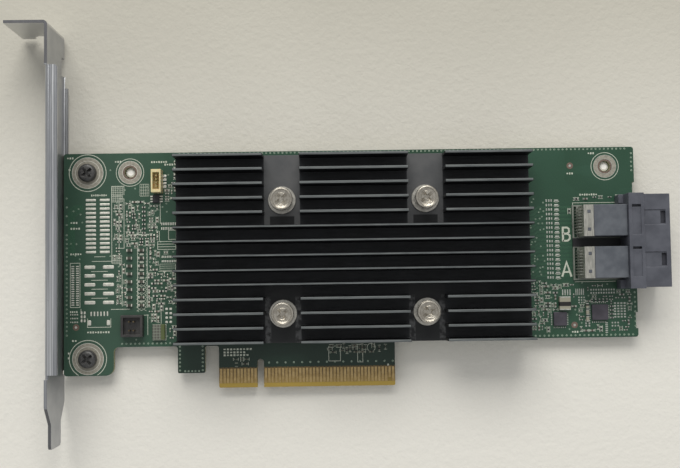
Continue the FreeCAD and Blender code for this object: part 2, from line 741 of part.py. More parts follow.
def coil_section(step, rise, bottom):
    """Four corners of the wire's section after a number of steps round the coil."""
    angle = 2 * math.pi * step / SPRING_STEPS_PER_TURN
    height = bottom + rise * step / (SPRING_TURNS * SPRING_STEPS_PER_TURN)
    outward = V(math.cos(angle), math.sin(angle), 0)
    middle = outward * SPRING_RADIUS + V(0, 0, height)
    return [
        middle + outward * SPRING_WIRE,
        middle + V(0, 0, SPRING_WIRE),
        middle - outward * SPRING_WIRE,
        middle - V(0, 0, SPRING_WIRE),
    ]


def spring(x, y):
    """Compression spring between the washer and the screw head, with a faceted wire."""
    bottom = SINK_FLOOR + WASHER_THICKNESS + SPRING_WIRE + SEAT_CLEARANCE
    rise = SINK_HEAD_UNDERSIDE - SPRING_WIRE - SEAT_CLEARANCE - bottom
    steps = round(SPRING_TURNS * SPRING_STEPS_PER_TURN)
    sections = [coil_section(step, rise, bottom) for step in range(steps + 1)]
    triangles = []
    for low, high in zip(sections, sections[1:]):
        for i in range(4):
            j = (i + 1) % 4
            triangles += [(low[i], low[j], high[j]), (low[i], high[j], high[i])]
    first, last = sections[0], sections[-1]
    triangles += [(first[0], first[2], first[1]), (first[0], first[3], first[2])]
    triangles += [(last[0], last[1], last[2]), (last[0], last[2], last[3])]
    faces = [Part.Face(Part.makePolygon([*corners, corners[0]])) for corners in triangles]
    coil = Part.Solid(Part.Shell(faces))
    coil.translate(V(x, y, 0))
    return coil


def back_nut(x, y):
    """Round nut soldered to the solder side; the screw's shoulder stops on the board above it."""
    foot = UNDERSIDE - NUT_HEIGHT
    return turned([
        (NUT_THREAD_RADIUS, UNDERSIDE),
        (NUT_RADIUS, UNDERSIDE),
        (NUT_RADIUS, foot),
        (NUT_THREAD_RADIUS, foot),
    ], x, y)


# ---- controller chip ----
def chip_substrate():
    """Laminate carrier of the controller, standing on its solder balls."""
    return centred_block(CHIP_X, CHIP_Y, (CHIP_SIZE, CHIP_SIZE, CHIP_SUBSTRATE), CHIP_STANDOFF)


def chip_lid():
    """Nickel-plated heat spreader on the carrier, with a pressed rim."""
    base = CHIP_STANDOFF + CHIP_SUBSTRATE
    lid = centred_block(CHIP_X, CHIP_Y, (LID_SIZE, LID_SIZE, LID_HEIGHT), base)
    return bevelled_top(lid, LID_EDGE)


def thermal_pad():
    """Soft pad that fills the gap between the lid and the pedestal."""
    base = CHIP_STANDOFF + CHIP_SUBSTRATE + LID_HEIGHT
    thickness = SINK_UNDERSIDE - PEDESTAL_DROP - base
    side = LID_SIZE - 2 * LID_EDGE
    return centred_block(CHIP_X, CHIP_Y, (side, side, thickness), base)


# ---- twin cable socket ----
def socket_housing():
    """One black moulding: front shell past the board edge, mounting flange and lugs."""
    y0 = SOCKET_CENTRE_UP - SOCKET_WIDTH / 2
    y1 = SOCKET_CENTRE_UP + SOCKET_WIDTH / 2
    flange_low = y0 - FLANGE_OVERSIZE
    flange_high = y1 + FLANGE_OVERSIZE
    flange_top = SOCKET_HEIGHT + FLANGE_RISE
    lug_rear = FLANGE_REAR - LUG_REACH
    past_board = RIGHT + SOCKET_BOARD_GAP
    shell = block(past_board, FRONT, y0, y1, -SOCKET_DROP, SOCKET_HEIGHT)
    shell = shell.fuse(block(SOCKET_REAR, past_board, y0, y1, 0, SOCKET_HEIGHT))
    shell = shell.fuse(block(FLANGE_REAR, SOCKET_REAR, flange_low, flange_high, 0, flange_top))
    shell = shell.fuse(block(lug_rear, FLANGE_REAR, flange_low, LUG_INNER_LOW, 0, LUG_HEIGHT))
    shell = shell.fuse(block(lug_rear, FLANGE_REAR, LUG_INNER_HIGH, flange_high, 0, LUG_HEIGHT))
    for centre in PORT_CENTRES.values():
        shell = cut_port(shell, centre)
        shell = cut_latch_window(shell, centre)
        shell = cut_flange_recess(shell, centre)
    return shell.removeSplitter()


def nose_levels():
    """Underside and top of a module's nose, centred on the height of the port."""
    foot = PORT_FLOOR + (PORT_HEIGHT - NOSE_HEIGHT) / 2
    return foot, foot + NOSE_HEIGHT


def cut_port(shell, centre):
    """Cut the mouth of one socket, and the rear pocket that its module fits."""
    half = PORT_WIDTH / 2
    roof = PORT_FLOOR + PORT_HEIGHT
    shell = shell.cut(block(SOCKET_REAR, FRONT, centre - half, centre + half, PORT_FLOOR, roof))
    pocket = MODULE_WIDTH / 2 + MODULE_CLEARANCE
    foot, top = nose_levels()
    foot -= MODULE_CLEARANCE
    top += MODULE_CLEARANCE
    return shell.cut(block(FLANGE_REAR, SOCKET_REAR, centre - pocket, centre + pocket, foot, top))


def cut_latch_window(shell, centre):
    """Cut the window that a plug's latch snaps into, and the shallow channel to it."""
    x1 = FRONT - LATCH_WINDOW_FROM_FRONT
    x0 = x1 - LATCH_WINDOW_LENGTH
    y0 = centre + LATCH_WINDOW_OFFSET - LATCH_WINDOW_WIDTH / 2
    y1 = y0 + LATCH_WINDOW_WIDTH
    shell = shell.cut(block(x0, x1, y0, y1, PORT_FLOOR + PORT_HEIGHT, SOCKET_HEIGHT))
    spare = (CHANNEL_WIDTH - LATCH_WINDOW_WIDTH) / 2
    floor = SOCKET_HEIGHT - CHANNEL_DEPTH
    return shell.cut(block(SOCKET_REAR, x1, y0 - spare, y1 + spare, floor, SOCKET_HEIGHT))


def cut_flange_recess(shell, centre):
    """Cut the shallow recess in the flange's top, with the small slot at its end."""
    top = SOCKET_HEIGHT + FLANGE_RISE
    middle = (FLANGE_REAR + SOCKET_REAR) / 2
    x0 = middle - FLANGE_RECESS_WIDTH / 2
    x1 = middle + FLANGE_RECESS_WIDTH / 2
    y0 = centre - FLANGE_RECESS_LENGTH / 2
    y1 = centre + FLANGE_RECESS_LENGTH / 2
    shell = shell.cut(block(x0, x1, y0, y1, top - FLANGE_RECESS_DEPTH, top))
    slot_floor = nose_levels()[1] + MODULE_CLEARANCE + FLANGE_SLOT_FLOOR
    return shell.cut(block(x0, x1, y1 - FLANGE_SLOT_WIDTH, y1, slot_floor, top))


def contact_slots(centre):
    """Cutters for the two card slots in the face of a module."""
    nose_front = FLANGE_REAR + NOSE_LENGTH
    middle = PORT_FLOOR + PORT_HEIGHT / 2
    y0 = centre - SLOT_WIDTH / 2
    y1 = centre + SLOT_WIDTH / 2
    slots = []
    for side in (-1, 1):
        z = middle + side * SLOT_SPREAD / 2 - SLOT_HEIGHT / 2
        slots.append(block(nose_front - SLOT_DEPTH, nose_front, y0, y1, z, z + SLOT_HEIGHT))
    return slots


def clip_posts(centre):
    """Places of the two posts that hold a module's clip."""
    x = (MODULE_REAR + FLANGE_REAR - CAP_LENGTH) / 2
    return [(x, centre + side * CLIP_WINDOW_SPACING / 2) for side in (-1, 1)]


def contact_module(centre):
    """Insulator block with a raised cap, a nose in the housing and two card slots."""
    y0 = centre - MODULE_WIDTH / 2
    y1 = centre + MODULE_WIDTH / 2
    top = MODULE_HEIGHT
    solid = block(MODULE_REAR, FLANGE_REAR, y0, y1, TRAY_THICKNESS, top)
    cap = block(FLANGE_REAR - CAP_LENGTH, FLANGE_REAR, y0, y1, top, top + CAP_RISE)
    foot, nose_top = nose_levels()
    nose = block(FLANGE_REAR, FLANGE_REAR + NOSE_LENGTH, y0, y1, foot, nose_top)
    solid = solid.fuse(bevelled_top(cap, CAP_BEVEL)).fuse(nose)
    for slot in contact_slots(centre):
        solid = solid.cut(slot)
    side = CLIP_WINDOW - 2 * SEAT_CLEARANCE
    for x, y in clip_posts(centre):
        solid = solid.fuse(centred_block(x, y, (side, side, CLIP_SHEET), top))
    return solid.removeSplitter()


def module_clip(centre):
    """Bright strip with two square windows that ties the module's wafers together."""
    x0 = MODULE_REAR
    x1 = FLANGE_REAR - CAP_LENGTH - SEAT_CLEARANCE
    y0 = centre - MODULE_WIDTH / 2
    y1 = centre + MODULE_WIDTH / 2
    top = MODULE_HEIGHT
    clip = block(x0, x1, y0, y1, top, top + CLIP_SHEET)
    clip = clip.fuse(block(x0 - CLIP_SHEET, x0, y0, y1, top - CLIP_SKIRT, top + CLIP_SHEET))
    for x, y in clip_posts(centre):
        clip = clip.cut(centred_block(x, y, (CLIP_WINDOW, CLIP_WINDOW, CLIP_SHEET), top))
    return clip.removeSplitter()


def contact_ys(centre):
    """Y of each contact in a row."""
    first = centre - (CONTACTS_PER_ROW - 1) * CONTACT_PITCH / 2
    return [first + i * CONTACT_PITCH for i in range(CONTACTS_PER_ROW)]


def contact_tails(centre):
    """Rear row of contact tails, bent down from the module into the board."""
    outer = MODULE_REAR - TAIL_REACH
    inner = outer + CONTACT_SHEET
    under = TAIL_HEIGHT - CONTACT_SHEET
    section = rounded_face([
        (MODULE_REAR, TAIL_HEIGHT, 0),
        (outer + TAIL_BEND, TAIL_HEIGHT, 0),
        (outer, TAIL_HEIGHT - TAIL_BEND, 0),
        (outer, 0, 0),
        (inner, 0, 0),
        (inner, TAIL_HEIGHT - TAIL_BEND, 0),
        (outer + TAIL_BEND, under, 0),
        (MODULE_REAR, under, 0),
    ])
    side = V(0, -CONTACT_WIDTH, 0)
    return [on_end(section, y + CONTACT_WIDTH / 2).extrude(side) for y in contact_ys(centre)]


def contact_blades(centre):
    """Contact strips lying on the lower face of each card slot."""
    x1 = FLANGE_REAR + NOSE_LENGTH
    x0 = x1 - SLOT_DEPTH
    middle = PORT_FLOOR + PORT_HEIGHT / 2
    half = CONTACT_WIDTH / 2
    blades = []
    for side in (-1, 1):
        z = middle + side * SLOT_SPREAD / 2 - SLOT_HEIGHT / 2
        for y in contact_ys(centre):
            blades.append(block(x0, x1 - BLADE_SETBACK, y - half, y + half, z, z + CONTACT_SHEET))
    return blades


def pin_tray():
    """Black plate between the lugs that holds the tails in line under both modules."""
    tail = MODULE_REAR - TAIL_REACH
    y0 = LUG_INNER_LOW + SEAT_CLEARANCE
    y1 = LUG_INNER_HIGH - SEAT_CLEARANCE
    tray = block(tail - TRAY_MARGIN, FLANGE_REAR - SEAT_CLEARANCE, y0, y1, 0, TRAY_THICKNESS)
    slot = (TRAY_SLOT_WIDTH, MODULE_WIDTH, TRAY_THICKNESS)
    for centre in PORT_CENTRES.values():
        tray = tray.cut(centred_block(tail + CONTACT_SHEET / 2, centre, slot, 0))
    return tray


# ---- small connectors ----
def cable_header():
    """Cream shrouded header for a small cable, open at the top."""
    x0 = LEFT + CABLE_HEADER_FROM_LEFT
    x1 = x0 + CABLE_HEADER_WIDTH
    y1 = TOP - CABLE_HEADER_BELOW_TOP
    y0 = y1 - CABLE_HEADER_LENGTH
    side = CABLE_HEADER_WALL
    end = CABLE_HEADER_END_WALL
    floor = CABLE_HEADER_HEIGHT - CABLE_HEADER_WELL
    body = block(x0, x1, y0, y1, 0, CABLE_HEADER_HEIGHT)
    return body.cut(block(x0 + side, x1 - side, y0 + end, y1 - end, floor, CABLE_HEADER_HEIGHT))


def cable_header_ys():
    """Y of the header's pins."""
    middle = TOP - CABLE_HEADER_BELOW_TOP - CABLE_HEADER_LENGTH / 2
    first = middle - (CABLE_HEADER_PIN_COUNT - 1) * CABLE_HEADER_PITCH / 2
    return [first + i * CABLE_HEADER_PITCH for i in range(CABLE_HEADER_PIN_COUNT)]


def cable_header_pins():
    """Upright pins in the well, and the flat leads soldered beside the body."""
    x0 = LEFT + CABLE_HEADER_FROM_LEFT
    x1 = x0 + CABLE_HEADER_WIDTH
    floor = CABLE_HEADER_HEIGHT - CABLE_HEADER_WELL
    pin = (PIN_WIDTH, PIN_WIDTH, CABLE_HEADER_WELL - PIN_BELOW_RIM)
    half = PIN_WIDTH / 2
    pins = []
    for y in cable_header_ys():
        pins.append(centred_block((x0 + x1) / 2, y, pin, floor))
        pins.append(block(x1, x1 + CABLE_LEAD_REACH, y - half, y + half, 0, CONTACT_SHEET))
    return pins


def service_header():
    """Black square service header with a shallow well."""
    x0 = LEFT + SERVICE_HEADER_FROM_LEFT
    y0 = SERVICE_HEADER_UP
    x1 = x0 + SERVICE_HEADER_SIZE
    y1 = y0 + SERVICE_HEADER_SIZE
    wall = SERVICE_HEADER_WALL
    top = SERVICE_HEADER_HEIGHT
    body = block(x0, x1, y0, y1, 0, top)
    return body.cut(block(x0 + wall, x1 - wall, y0 + wall, y1 - wall, top - SERVICE_HEADER_WELL, top))


def service_pins():
    """Square gold pins of the service header, in two rows."""
    middle_x = LEFT + SERVICE_HEADER_FROM_LEFT + SERVICE_HEADER_SIZE / 2
    middle_y = SERVICE_HEADER_UP + SERVICE_HEADER_SIZE / 2
    floor = SERVICE_HEADER_HEIGHT - SERVICE_HEADER_WELL
    pins = []
    for row in (-1, 1):
        for i in range(SERVICE_PINS_PER_ROW):
            x = middle_x + (i - (SERVICE_PINS_PER_ROW - 1) / 2) * SERVICE_PIN_PITCH
            y = middle_y + row * SERVICE_PIN_PITCH
            pins.append(centred_block(x, y, (PIN_WIDTH, PIN_WIDTH, SERVICE_PIN_RISE - floor), floor))
    return pins


# ---- chips ----
def chip_body(x, y, size, gap):
    """Moulded chip body with a shallow bevel around its top."""
    return bevelled_top(centred_block(x, y, size, gap), MOULD_BEVEL)


def gull_leads(x, y, size, count, pitch):
    """Rows of bent leads on the two short sides of a chip body."""
    leads = []
    knee = CHIP_GAP + size[2] / 2
    first = y - (count - 1) / 2 * pitch - LEAD_WIDTH / 2
    for side in (-1, 1):
        edge = x + side * size[0] / 2
        tip = edge + side * LEAD_REACH
        heel = tip - side * LEAD_FOOT
        outline = [
            V(edge, 0, knee),
            V(heel, 0, knee),
            V(heel, 0, LEAD_SHEET),
            V(tip, 0, LEAD_SHEET),
            V(tip, 0, 0),
            V(heel - side * LEAD_SHEET, 0, 0),
            V(heel - side * LEAD_SHEET, 0, knee - LEAD_SHEET),
            V(edge, 0, knee - LEAD_SHEET),
        ]
        face = Part.Face(Part.makePolygon(outline + outline[:1]))
        for i in range(count):
            lead = face.copy()
            lead.translate(V(0, first + i * pitch, 0))
            leads.append(lead.extrude(V(0, LEAD_WIDTH, 0)))
    return leads


def leaded_chips():
    """Each leaded chip as (x, y, body size, leads per side, lead pitch)."""
    small = (LEFT + SMALL_CHIP_FROM_LEFT, TOP - SMALL_CHIP_BELOW_TOP)
    flash = (SINK_LEFT + FLASH_INSIDE_SINK, LOWER_EDGE + FLASH_ABOVE_LOWER)
    return [
        (*small, SMALL_CHIP_BODY, SMALL_CHIP_LEAD_COUNT, SMALL_CHIP_PITCH),
        (*flash, FLASH_CHIP_BODY, FLASH_CHIP_LEAD_COUNT, FLASH_CHIP_PITCH),
    ]


def leaded_bodies():
    """Moulded bodies of the leaded chips."""
    return [chip_body(x, y, size, CHIP_GAP) for x, y, size, count, pitch in leaded_chips()]


def leaded_leads():
    """All bent leads, as one group."""
    leads = []
    for x, y, size, count, pitch in leaded_chips():
        leads += gull_leads(x, y, size, count, pitch)
    return leads


def regulator_chips():
    """Two leadless power chips at the lower right, flat on the board."""
    small_x = RIGHT - POWER_SMALL_FROM_RIGHT
    small_y = LOWER_EDGE + POWER_SMALL_UP
    return [
        chip_body(POWER_X, POWER_Y, POWER_CHIP_LARGE, PART_STANDOFF),
        chip_body(small_x, small_y, POWER_CHIP_SMALL, PART_STANDOFF),
    ]


def oscillator():
    """Sealed oscillator can beside the service header."""
    x = LEFT + OSCILLATOR_FROM_LEFT
    y = LOWER_EDGE + OSCILLATOR_UP
    return chip_body(x, y, OSCILLATOR_BODY, PART_STANDOFF)


# ---- two-terminal parts ----
def column(x, y, count, pitch):
    """Places of like parts in an upright column, counted up from the lowest."""
    return [(x, y + i * pitch) for i in range(count)]


def row(x, y, count, pitch):
    """Places of like parts in a level row, centred on x."""
    return [(x + (i - (count - 1) / 2) * pitch, y) for i in range(count)]


def passive(x, y, size, upright):
    """Body and two wrapped end terminals of one chip part."""
    length, width, height = size
    core_length = length - 2 * TERMINAL_LENGTH
    pieces = [centred_block(x, y, (core_length, width, height), PART_STANDOFF)]
    for side in (-1, 1):
        end_x = x + side * (length - TERMINAL_LENGTH) / 2
        pieces.append(centred_block(end_x, y, (TERMINAL_LENGTH, width, height), PART_STANDOFF))
    if upright:
        for piece in pieces:
            piece.rotate(V(x, y, 0), V(0, 0, 1), 90)
    return pieces[0], pieces[1:]


def capacitor_places():
    """Every capacitor as (x, y, size, upright)."""
    field_x = LEFT + FIELD_FROM_LEFT
    field_y = LOWER_EDGE + FIELD_UP
    flat = column(field_x, field_y, FIELD_ROW_COUNT, FIELD_PITCH)
    flat += column(field_x + FIELD_COLUMN_GAP, field_y, FIELD_ROW_COUNT, FIELD_PITCH)
    beside_power = POWER_X - (POWER_CHIP_LARGE[0] + CAPACITOR_SMALL[1]) / 2 - POWER_CAPACITOR_GAP
    lowest = POWER_Y - (POWER_CAPACITOR_COUNT - 1) / 2 * POWER_CAPACITOR_PITCH
    upright = column(beside_power, lowest, POWER_CAPACITOR_COUNT, POWER_CAPACITOR_PITCH)
    reach = CHIP_SIZE / 2 + CHIP_DECOUPLING_GAP
    for y in (CHIP_Y - reach, CHIP_Y + reach):
        upright += row(CHIP_X, y, 2, CHIP_DECOUPLING_SPREAD)
    places = [(x, y, CAPACITOR_SMALL, False) for x, y in flat]
    places += [(x, y, CAPACITOR_SMALL, True) for x, y in upright]
    places.append((RIGHT - BULK_FROM_RIGHT, LOWER_EDGE + BULK_UP, CAPACITOR_BULK, True))
    return places


def resistor_places():
    """Every resistor as (x, y, size, upright)."""
    field_x = LEFT + FIELD_FROM_LEFT
    flat = []
    for up in PAIR_UPS:
        flat += column(field_x + PAIR_FROM_FIELD, LOWER_EDGE + up, 2, PAIR_PITCH)
    flat += column(field_x + FIELD_COLUMN_GAP, LOWER_EDGE + UPPER_PAIR_UP, 2, PAIR_PITCH)
    edge_x = field_x + EDGE_COLUMN_FROM_FIELD
    flat += column(edge_x, LOWER_EDGE + EDGE_COLUMN_UP, EDGE_COLUMN_COUNT, EDGE_COLUMN_PITCH)
    right_x = POWER_X + POWER_CHIP_LARGE[0] / 2 + POWER_RESISTOR_GAP
    lowest = POWER_Y - (POWER_COLUMN_COUNT - 1) / 2 * POWER_RESISTOR_PITCH
    flat += column(right_x, lowest, POWER_COLUMN_COUNT, POWER_RESISTOR_PITCH)
    above = POWER_Y + POWER_CHIP_LARGE[1] / 2 + POWER_RESISTOR_GAP
    upright = row(POWER_X, above, POWER_ROW_COUNT, POWER_RESISTOR_PITCH)
    places = [(x, y, RESISTOR, False) for x, y in flat]
    places += [(x, y, RESISTOR, True) for x, y in upright]
    return places


def bodies_and_ends(places):
    """Split a list of chip parts into all bodies and all terminals."""
    bodies = []
    terminals = []
    for x, y, size, upright in places:
        core, ends = passive(x, y, size, upright)
        bodies.append(core)
        terminals += ends
    return bodies, terminals


save("circuit_board", circuit_board())
save("edge_contacts", edge_contacts())
save("bracket", bracket())
save("bracket_screws", [bracket_screw(x, y) for x, y in SCREW_PLACES])
save("heatsink", heatsink())
save("heatsink_screws", [sink_screw(x, y) for x, y in SINK_SCREW_PLACES])
save("heatsink_washers", [washer(x, y) for x, y in SINK_SCREW_PLACES])
save("heatsink_springs", [spring(x, y) for x, y in SINK_SCREW_PLACES])
save("heatsink_nuts", [back_nut(x, y) for x, y in SINK_SCREW_PLACES])
save("controller_substrate", chip_substrate())
save("controller_lid", chip_lid())
save("thermal_pad", thermal_pad())
save("socket_housing", socket_housing())
for port, port_centre in PORT_CENTRES.items():
    save("contact_module_" + port, contact_module(port_centre))
    save("module_clip_" + port, module_clip(port_centre))
    save("contact_tails_" + port, contact_tails(port_centre))
    save("contact_blades_" + port, contact_blades(port_centre))
save("pin_tray", pin_tray())
save("cable_header", cable_header())
save("cable_header_pins", cable_header_pins())
save("service_header", service_header())
save("service_header_pins", service_pins())
save("leaded_chips", leaded_bodies())
save("chip_leads", leaded_leads())
save("regulator_chips", regulator_chips())
save("oscillator", oscillator())
capacitor_bodies, capacitor_ends = bodies_and_ends(capacitor_places())
save("capacitor_bodies", capacitor_bodies)
save("capacitor_terminals", capacitor_ends)
resistor_bodies, resistor_ends = bodies_and_ends(resistor_places())
save("resistor_bodies", resistor_bodies)
save("resistor_terminals", resistor_ends)
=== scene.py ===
import math
import random

import bpy
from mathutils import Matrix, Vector


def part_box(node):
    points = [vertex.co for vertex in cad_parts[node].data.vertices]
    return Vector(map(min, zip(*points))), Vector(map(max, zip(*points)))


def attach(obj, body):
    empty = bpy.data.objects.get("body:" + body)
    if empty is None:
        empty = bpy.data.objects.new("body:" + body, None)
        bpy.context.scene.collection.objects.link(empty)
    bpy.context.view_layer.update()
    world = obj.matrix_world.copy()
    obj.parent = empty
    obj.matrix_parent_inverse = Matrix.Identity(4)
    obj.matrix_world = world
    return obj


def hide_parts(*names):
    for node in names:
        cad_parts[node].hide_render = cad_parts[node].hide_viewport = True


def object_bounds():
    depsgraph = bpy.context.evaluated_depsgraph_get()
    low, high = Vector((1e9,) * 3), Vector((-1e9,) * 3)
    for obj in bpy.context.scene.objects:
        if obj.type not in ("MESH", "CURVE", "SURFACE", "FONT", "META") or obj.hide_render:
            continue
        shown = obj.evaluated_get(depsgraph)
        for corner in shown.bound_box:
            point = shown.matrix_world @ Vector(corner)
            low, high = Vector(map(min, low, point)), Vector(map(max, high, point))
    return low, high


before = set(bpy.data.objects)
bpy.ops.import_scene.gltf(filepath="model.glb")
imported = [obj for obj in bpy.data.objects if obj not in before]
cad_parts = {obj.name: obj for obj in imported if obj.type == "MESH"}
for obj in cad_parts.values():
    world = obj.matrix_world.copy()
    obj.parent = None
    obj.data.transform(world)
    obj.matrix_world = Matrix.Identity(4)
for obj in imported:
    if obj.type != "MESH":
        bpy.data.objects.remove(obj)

cad_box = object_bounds()
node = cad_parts
MM = 0.001


# -------- stage
# The card lies on its solder side on a pale sheet, under one broad soft lamp beyond its top
# edge and an even pale room. The sheet's colour holds painted light: paler towards the bottom,
# and whiter atop the swells under the holes. None of this is part of the card.

def linear(red, green, blue):
    """A colour of 0 to 255 screen values, as the linear colour that a shader takes."""
    return (*(value / 12.92 if value <= 0.04045 else ((value + 0.055) / 1.055) ** 2.4
              for value in (red / 255, green / 255, blue / 255)), 1)


class Nodes:
    """Short ways to add to a node tree. A colour is (red, green, blue), each 0 to 255."""

    def __init__(self, tree):
        self.tree = tree

    def put(self, socket, value):
        """Links another node's output to the socket, or writes a number or a colour."""
        if isinstance(value, bpy.types.NodeSocket):
            self.tree.links.new(value, socket)
        elif socket.type == "RGBA" and len(value) == 3:
            socket.default_value = linear(*value)
        else:
            socket.default_value = value

    def add(self, kind, values, **settings):
        """A new shader node's outputs; each of the values is what put takes."""
        made = self.tree.nodes.new("ShaderNode" + kind)
        for name, value in settings.items():
            setattr(made, name, value)
        for socket, value in values.items():
            self.put(made.inputs[socket], value)
        return made.outputs

    def maths(self, operation, first, second=0):
        return self.add("Math", {0: first, 1: second}, operation=operation)[0]

    def times(self, first, *others):
        for other in others:
            first = self.maths("MULTIPLY", first, other)
        return first

    def away(self, value, middle):
        """How far the value is from the middle, either way."""
        return self.maths("ABSOLUTE", self.maths("SUBTRACT", value, middle))

    def mix(self, factor, first, second):
        return self.add("Mix", {0: factor, 6: first, 7: second}, data_type="RGBA")[2]

    def ramp(self, value, start, end, to_end=1, to_start=0):
        """The value carried smoothly from the range start to end into another range."""
        values = {"Value": value, "From Min": start, "From Max": end, "To Min": to_start,
                  "To Max": to_end}
        return self.add("MapRange", values, interpolation_type="SMOOTHSTEP")[0]

    def tones(self, grain, dark, pale, start=0.3, end=0.7):
        """Two tones of one colour, mixed by a grain."""
        return self.mix(self.ramp(grain, start, end), dark, pale)

    def grain(self, size, detail=3, **stretch):
        """The grain group at a size in millimetres, drawn out along X, Y or Z."""
        values = {"Size mm": size, "Detail": detail}
        values.update({"Stretch " + axis: times for axis, times in stretch.items()})
        return self.add("Group", values, node_tree=GRAIN.tree)[0]

    def waves(self, point, way, scale, distortion, detail=2):
        """Soft bands that follow each other along X or Y."""
        values = {"Vector": point, "Scale": scale, "Distortion": distortion, "Detail": detail}
        return self.add("TexWave", values, wave_type="BANDS", bands_direction=way)[0]

    def place(self):
        """The point on the piece in millimetres: its vector and its three parts."""
        point = self.add("TexCoord", {})["Object"]
        point = self.add("VectorMath", {0: point, 1: (1 / MM,) * 3}, operation="MULTIPLY")[0]
        return (point, *self.add("SeparateXYZ", {0: point}))

    def facing(self, axis, start, end):
        """A mask that is 1 where the surface faces along the axis, either way."""
        normal = self.add("NewGeometry", {})["Normal"]
        part = self.add("SeparateXYZ", {0: normal})["XYZ".index(axis)]
        return self.ramp(self.maths("ABSOLUTE", part), start, end)


class Finish(Nodes):
    """A material with one Principled shader."""

    def __init__(self, name, metallic=0, specular=0.5):
        self.material = bpy.data.materials.new(name)
        self.material.use_nodes = True
        super().__init__(self.material.node_tree)
        self.shader = self.tree.nodes["Principled BSDF"].inputs
        self.put(self.shader["Metallic"], metallic)
        self.put(self.shader["Specular IOR Level"], specular)

    def look(self, colour, rough, relief, strength, depth):
        """Its colour, and a relief with a strength and a depth in millimetres.

        The roughness is one value, or a grain with the least and the most roughness.
        """
        if isinstance(rough, tuple):
            grain, least, most = rough
            rough = self.ramp(grain, 0.3, 0.7, most, least)
        self.put(self.shader["Base Color"], colour)
        self.put(self.shader["Roughness"], rough)
        bump = {"Height": relief, "Strength": strength, "Distance": depth * MM}
        self.put(self.shader["Normal"], self.add("Bump", bump)[0])

    def over(self, colour, *masks):
        """Another colour over the one it has, where all the masks are 1."""
        plain = self.shader["Base Color"].links[0].from_socket
        self.put(self.shader["Base Color"], self.mix(self.times(*masks), plain, colour))


def group(name, inputs, output):
    """A new shader node group of plain numbers: its nodes, its inputs and its one output."""
    tree = bpy.data.node_groups.new(name, "ShaderNodeTree")
    for socket, value in inputs.items():
        made = tree.interface.new_socket(socket, in_out="INPUT", socket_type="NodeSocketFloat")
        made.default_value = value
    tree.interface.new_socket(output, in_out="OUTPUT", socket_type="NodeSocketFloat")
    given = tree.nodes.new("NodeGroupInput").outputs
    return Nodes(tree), given, tree.nodes.new("NodeGroupOutput").inputs[output]


# Grain: fine noise in millimetres on the piece, for moulded, cast, plated and printed surfaces.
GRAIN, given, result = group("grain", {"Size mm": 0.1, "Detail": 3, "Stretch X": 1,
                                       "Stretch Y": 1, "Stretch Z": 1}, "Value")
stretch = GRAIN.add("CombineXYZ", {axis: given["Stretch " + axis] for axis in "XYZ"})[0]
point = GRAIN.add("TexCoord", {})["Object"]
point = GRAIN.add("VectorMath", {0: point, 1: stretch}, operation="DIVIDE")[0]
noise = {"Vector": point, "Scale": GRAIN.maths("DIVIDE", 1 / MM, given["Size mm"]),
         "Detail": given["Detail"], "Roughness": 0.55}
GRAIN.put(result, GRAIN.add("TexNoise", noise)[0])


def circle(x, y, radius, z, sides):
    """Points round a circle, in millimetres."""
    turns = [2 * math.pi * i / sides for i in range(sides)]
    return [(x + radius * math.cos(turn), y + radius * math.sin(turn), z) for turn in turns]


def loft(points, faces, rings, closed=False, base=True):
    """Adds a solid through rings of points; the last ring closes on the first, or both ends do."""
    count, first = len(rings[0]), len(points)
    points += [point for ring in rings for point in ring]
    for k in range(len(rings) if closed else len(rings) - 1):
        here, there = first + k * count, first + (k + 1) % len(rings) * count
        for i in range(count):
            j = (i + 1) % count
            faces.append([here + i, here + j, there + j, there + i])
    if not closed:
        faces.append([there + i for i in range(count)])
        if base:
            faces.append([first + i for i in reversed(range(count))])


def build(name, points, faces, finish, slot=None, stands_for=None):
    """An object of points in millimetres; with a slot, it is a piece that rides on the card."""
    mesh = bpy.data.meshes.new(name)
    mesh.from_pydata([[value * MM for value in point] for point in points], [], faces)
    mesh.materials.append(finish.material)
    made = bpy.data.objects.new(name, mesh)
    bpy.context.scene.collection.objects.link(made)
    if slot:
        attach(made, "root")
    if stands_for:
        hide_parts(stands_for)
    return made


def box(name):
    """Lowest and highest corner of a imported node, in millimetres."""
    return [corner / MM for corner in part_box(name)]


FLOOR_Z = cad_box[0].z / MM
foam = Finish("foam_sheet", specular=0.25)
point, x, y, z = foam.place()
foam.look(foam.tones(foam.grain(60, 2), (191, 187, 174), (196, 192, 179)), 0.7,
          foam.grain(1.6, 4), 0.36, 0.6)
# Painted light: the sheet is painted paler towards the bottom, standing in for brighter light
# there.
foam.over((233, 230, 221), foam.ramp(y, 130, 15))
# Painted light: the tops of the swells are painted whiter, for light reaching them through the
# holes.
foam.over((255, 252, 246), foam.ramp(z, FLOOR_Z + 2, FLOOR_Z + 2.7))

# The sheet is soft, and stands up a little under the board's two open holes.
REACH = 3000.0
BOARD_LEFT = box("circuit_board")[0].x
TOOLING_HOLES = [(19.4, 63.2), (159.1, 63.2)]
SWELL = [(4, 0), (3.2, 0.3), (2.1, 1.2), (1.4, 2), (1.3, 2.7), (0.8, 2.98)]
points = [(x * REACH, y * REACH, FLOOR_Z) for x, y in ((-1, -1), (1, -1), (1, 1), (-1, 1))]
faces = [(0, 1, 2, 3)]
for x, y in TOOLING_HOLES:
    loft(points, faces, [circle(BOARD_LEFT + x, y, radius, FLOOR_Z + height, 32)
                         for radius, height in SWELL], base=False)
build("floor", points, faces, foam)

scene = bpy.context.scene
world = bpy.data.worlds.new("room")
scene.world = world
world.use_nodes = True
sky = world.node_tree.nodes["Background"].inputs
sky["Color"].default_value = (0.98, 0.99, 1, 1)
sky["Strength"].default_value = 0.52

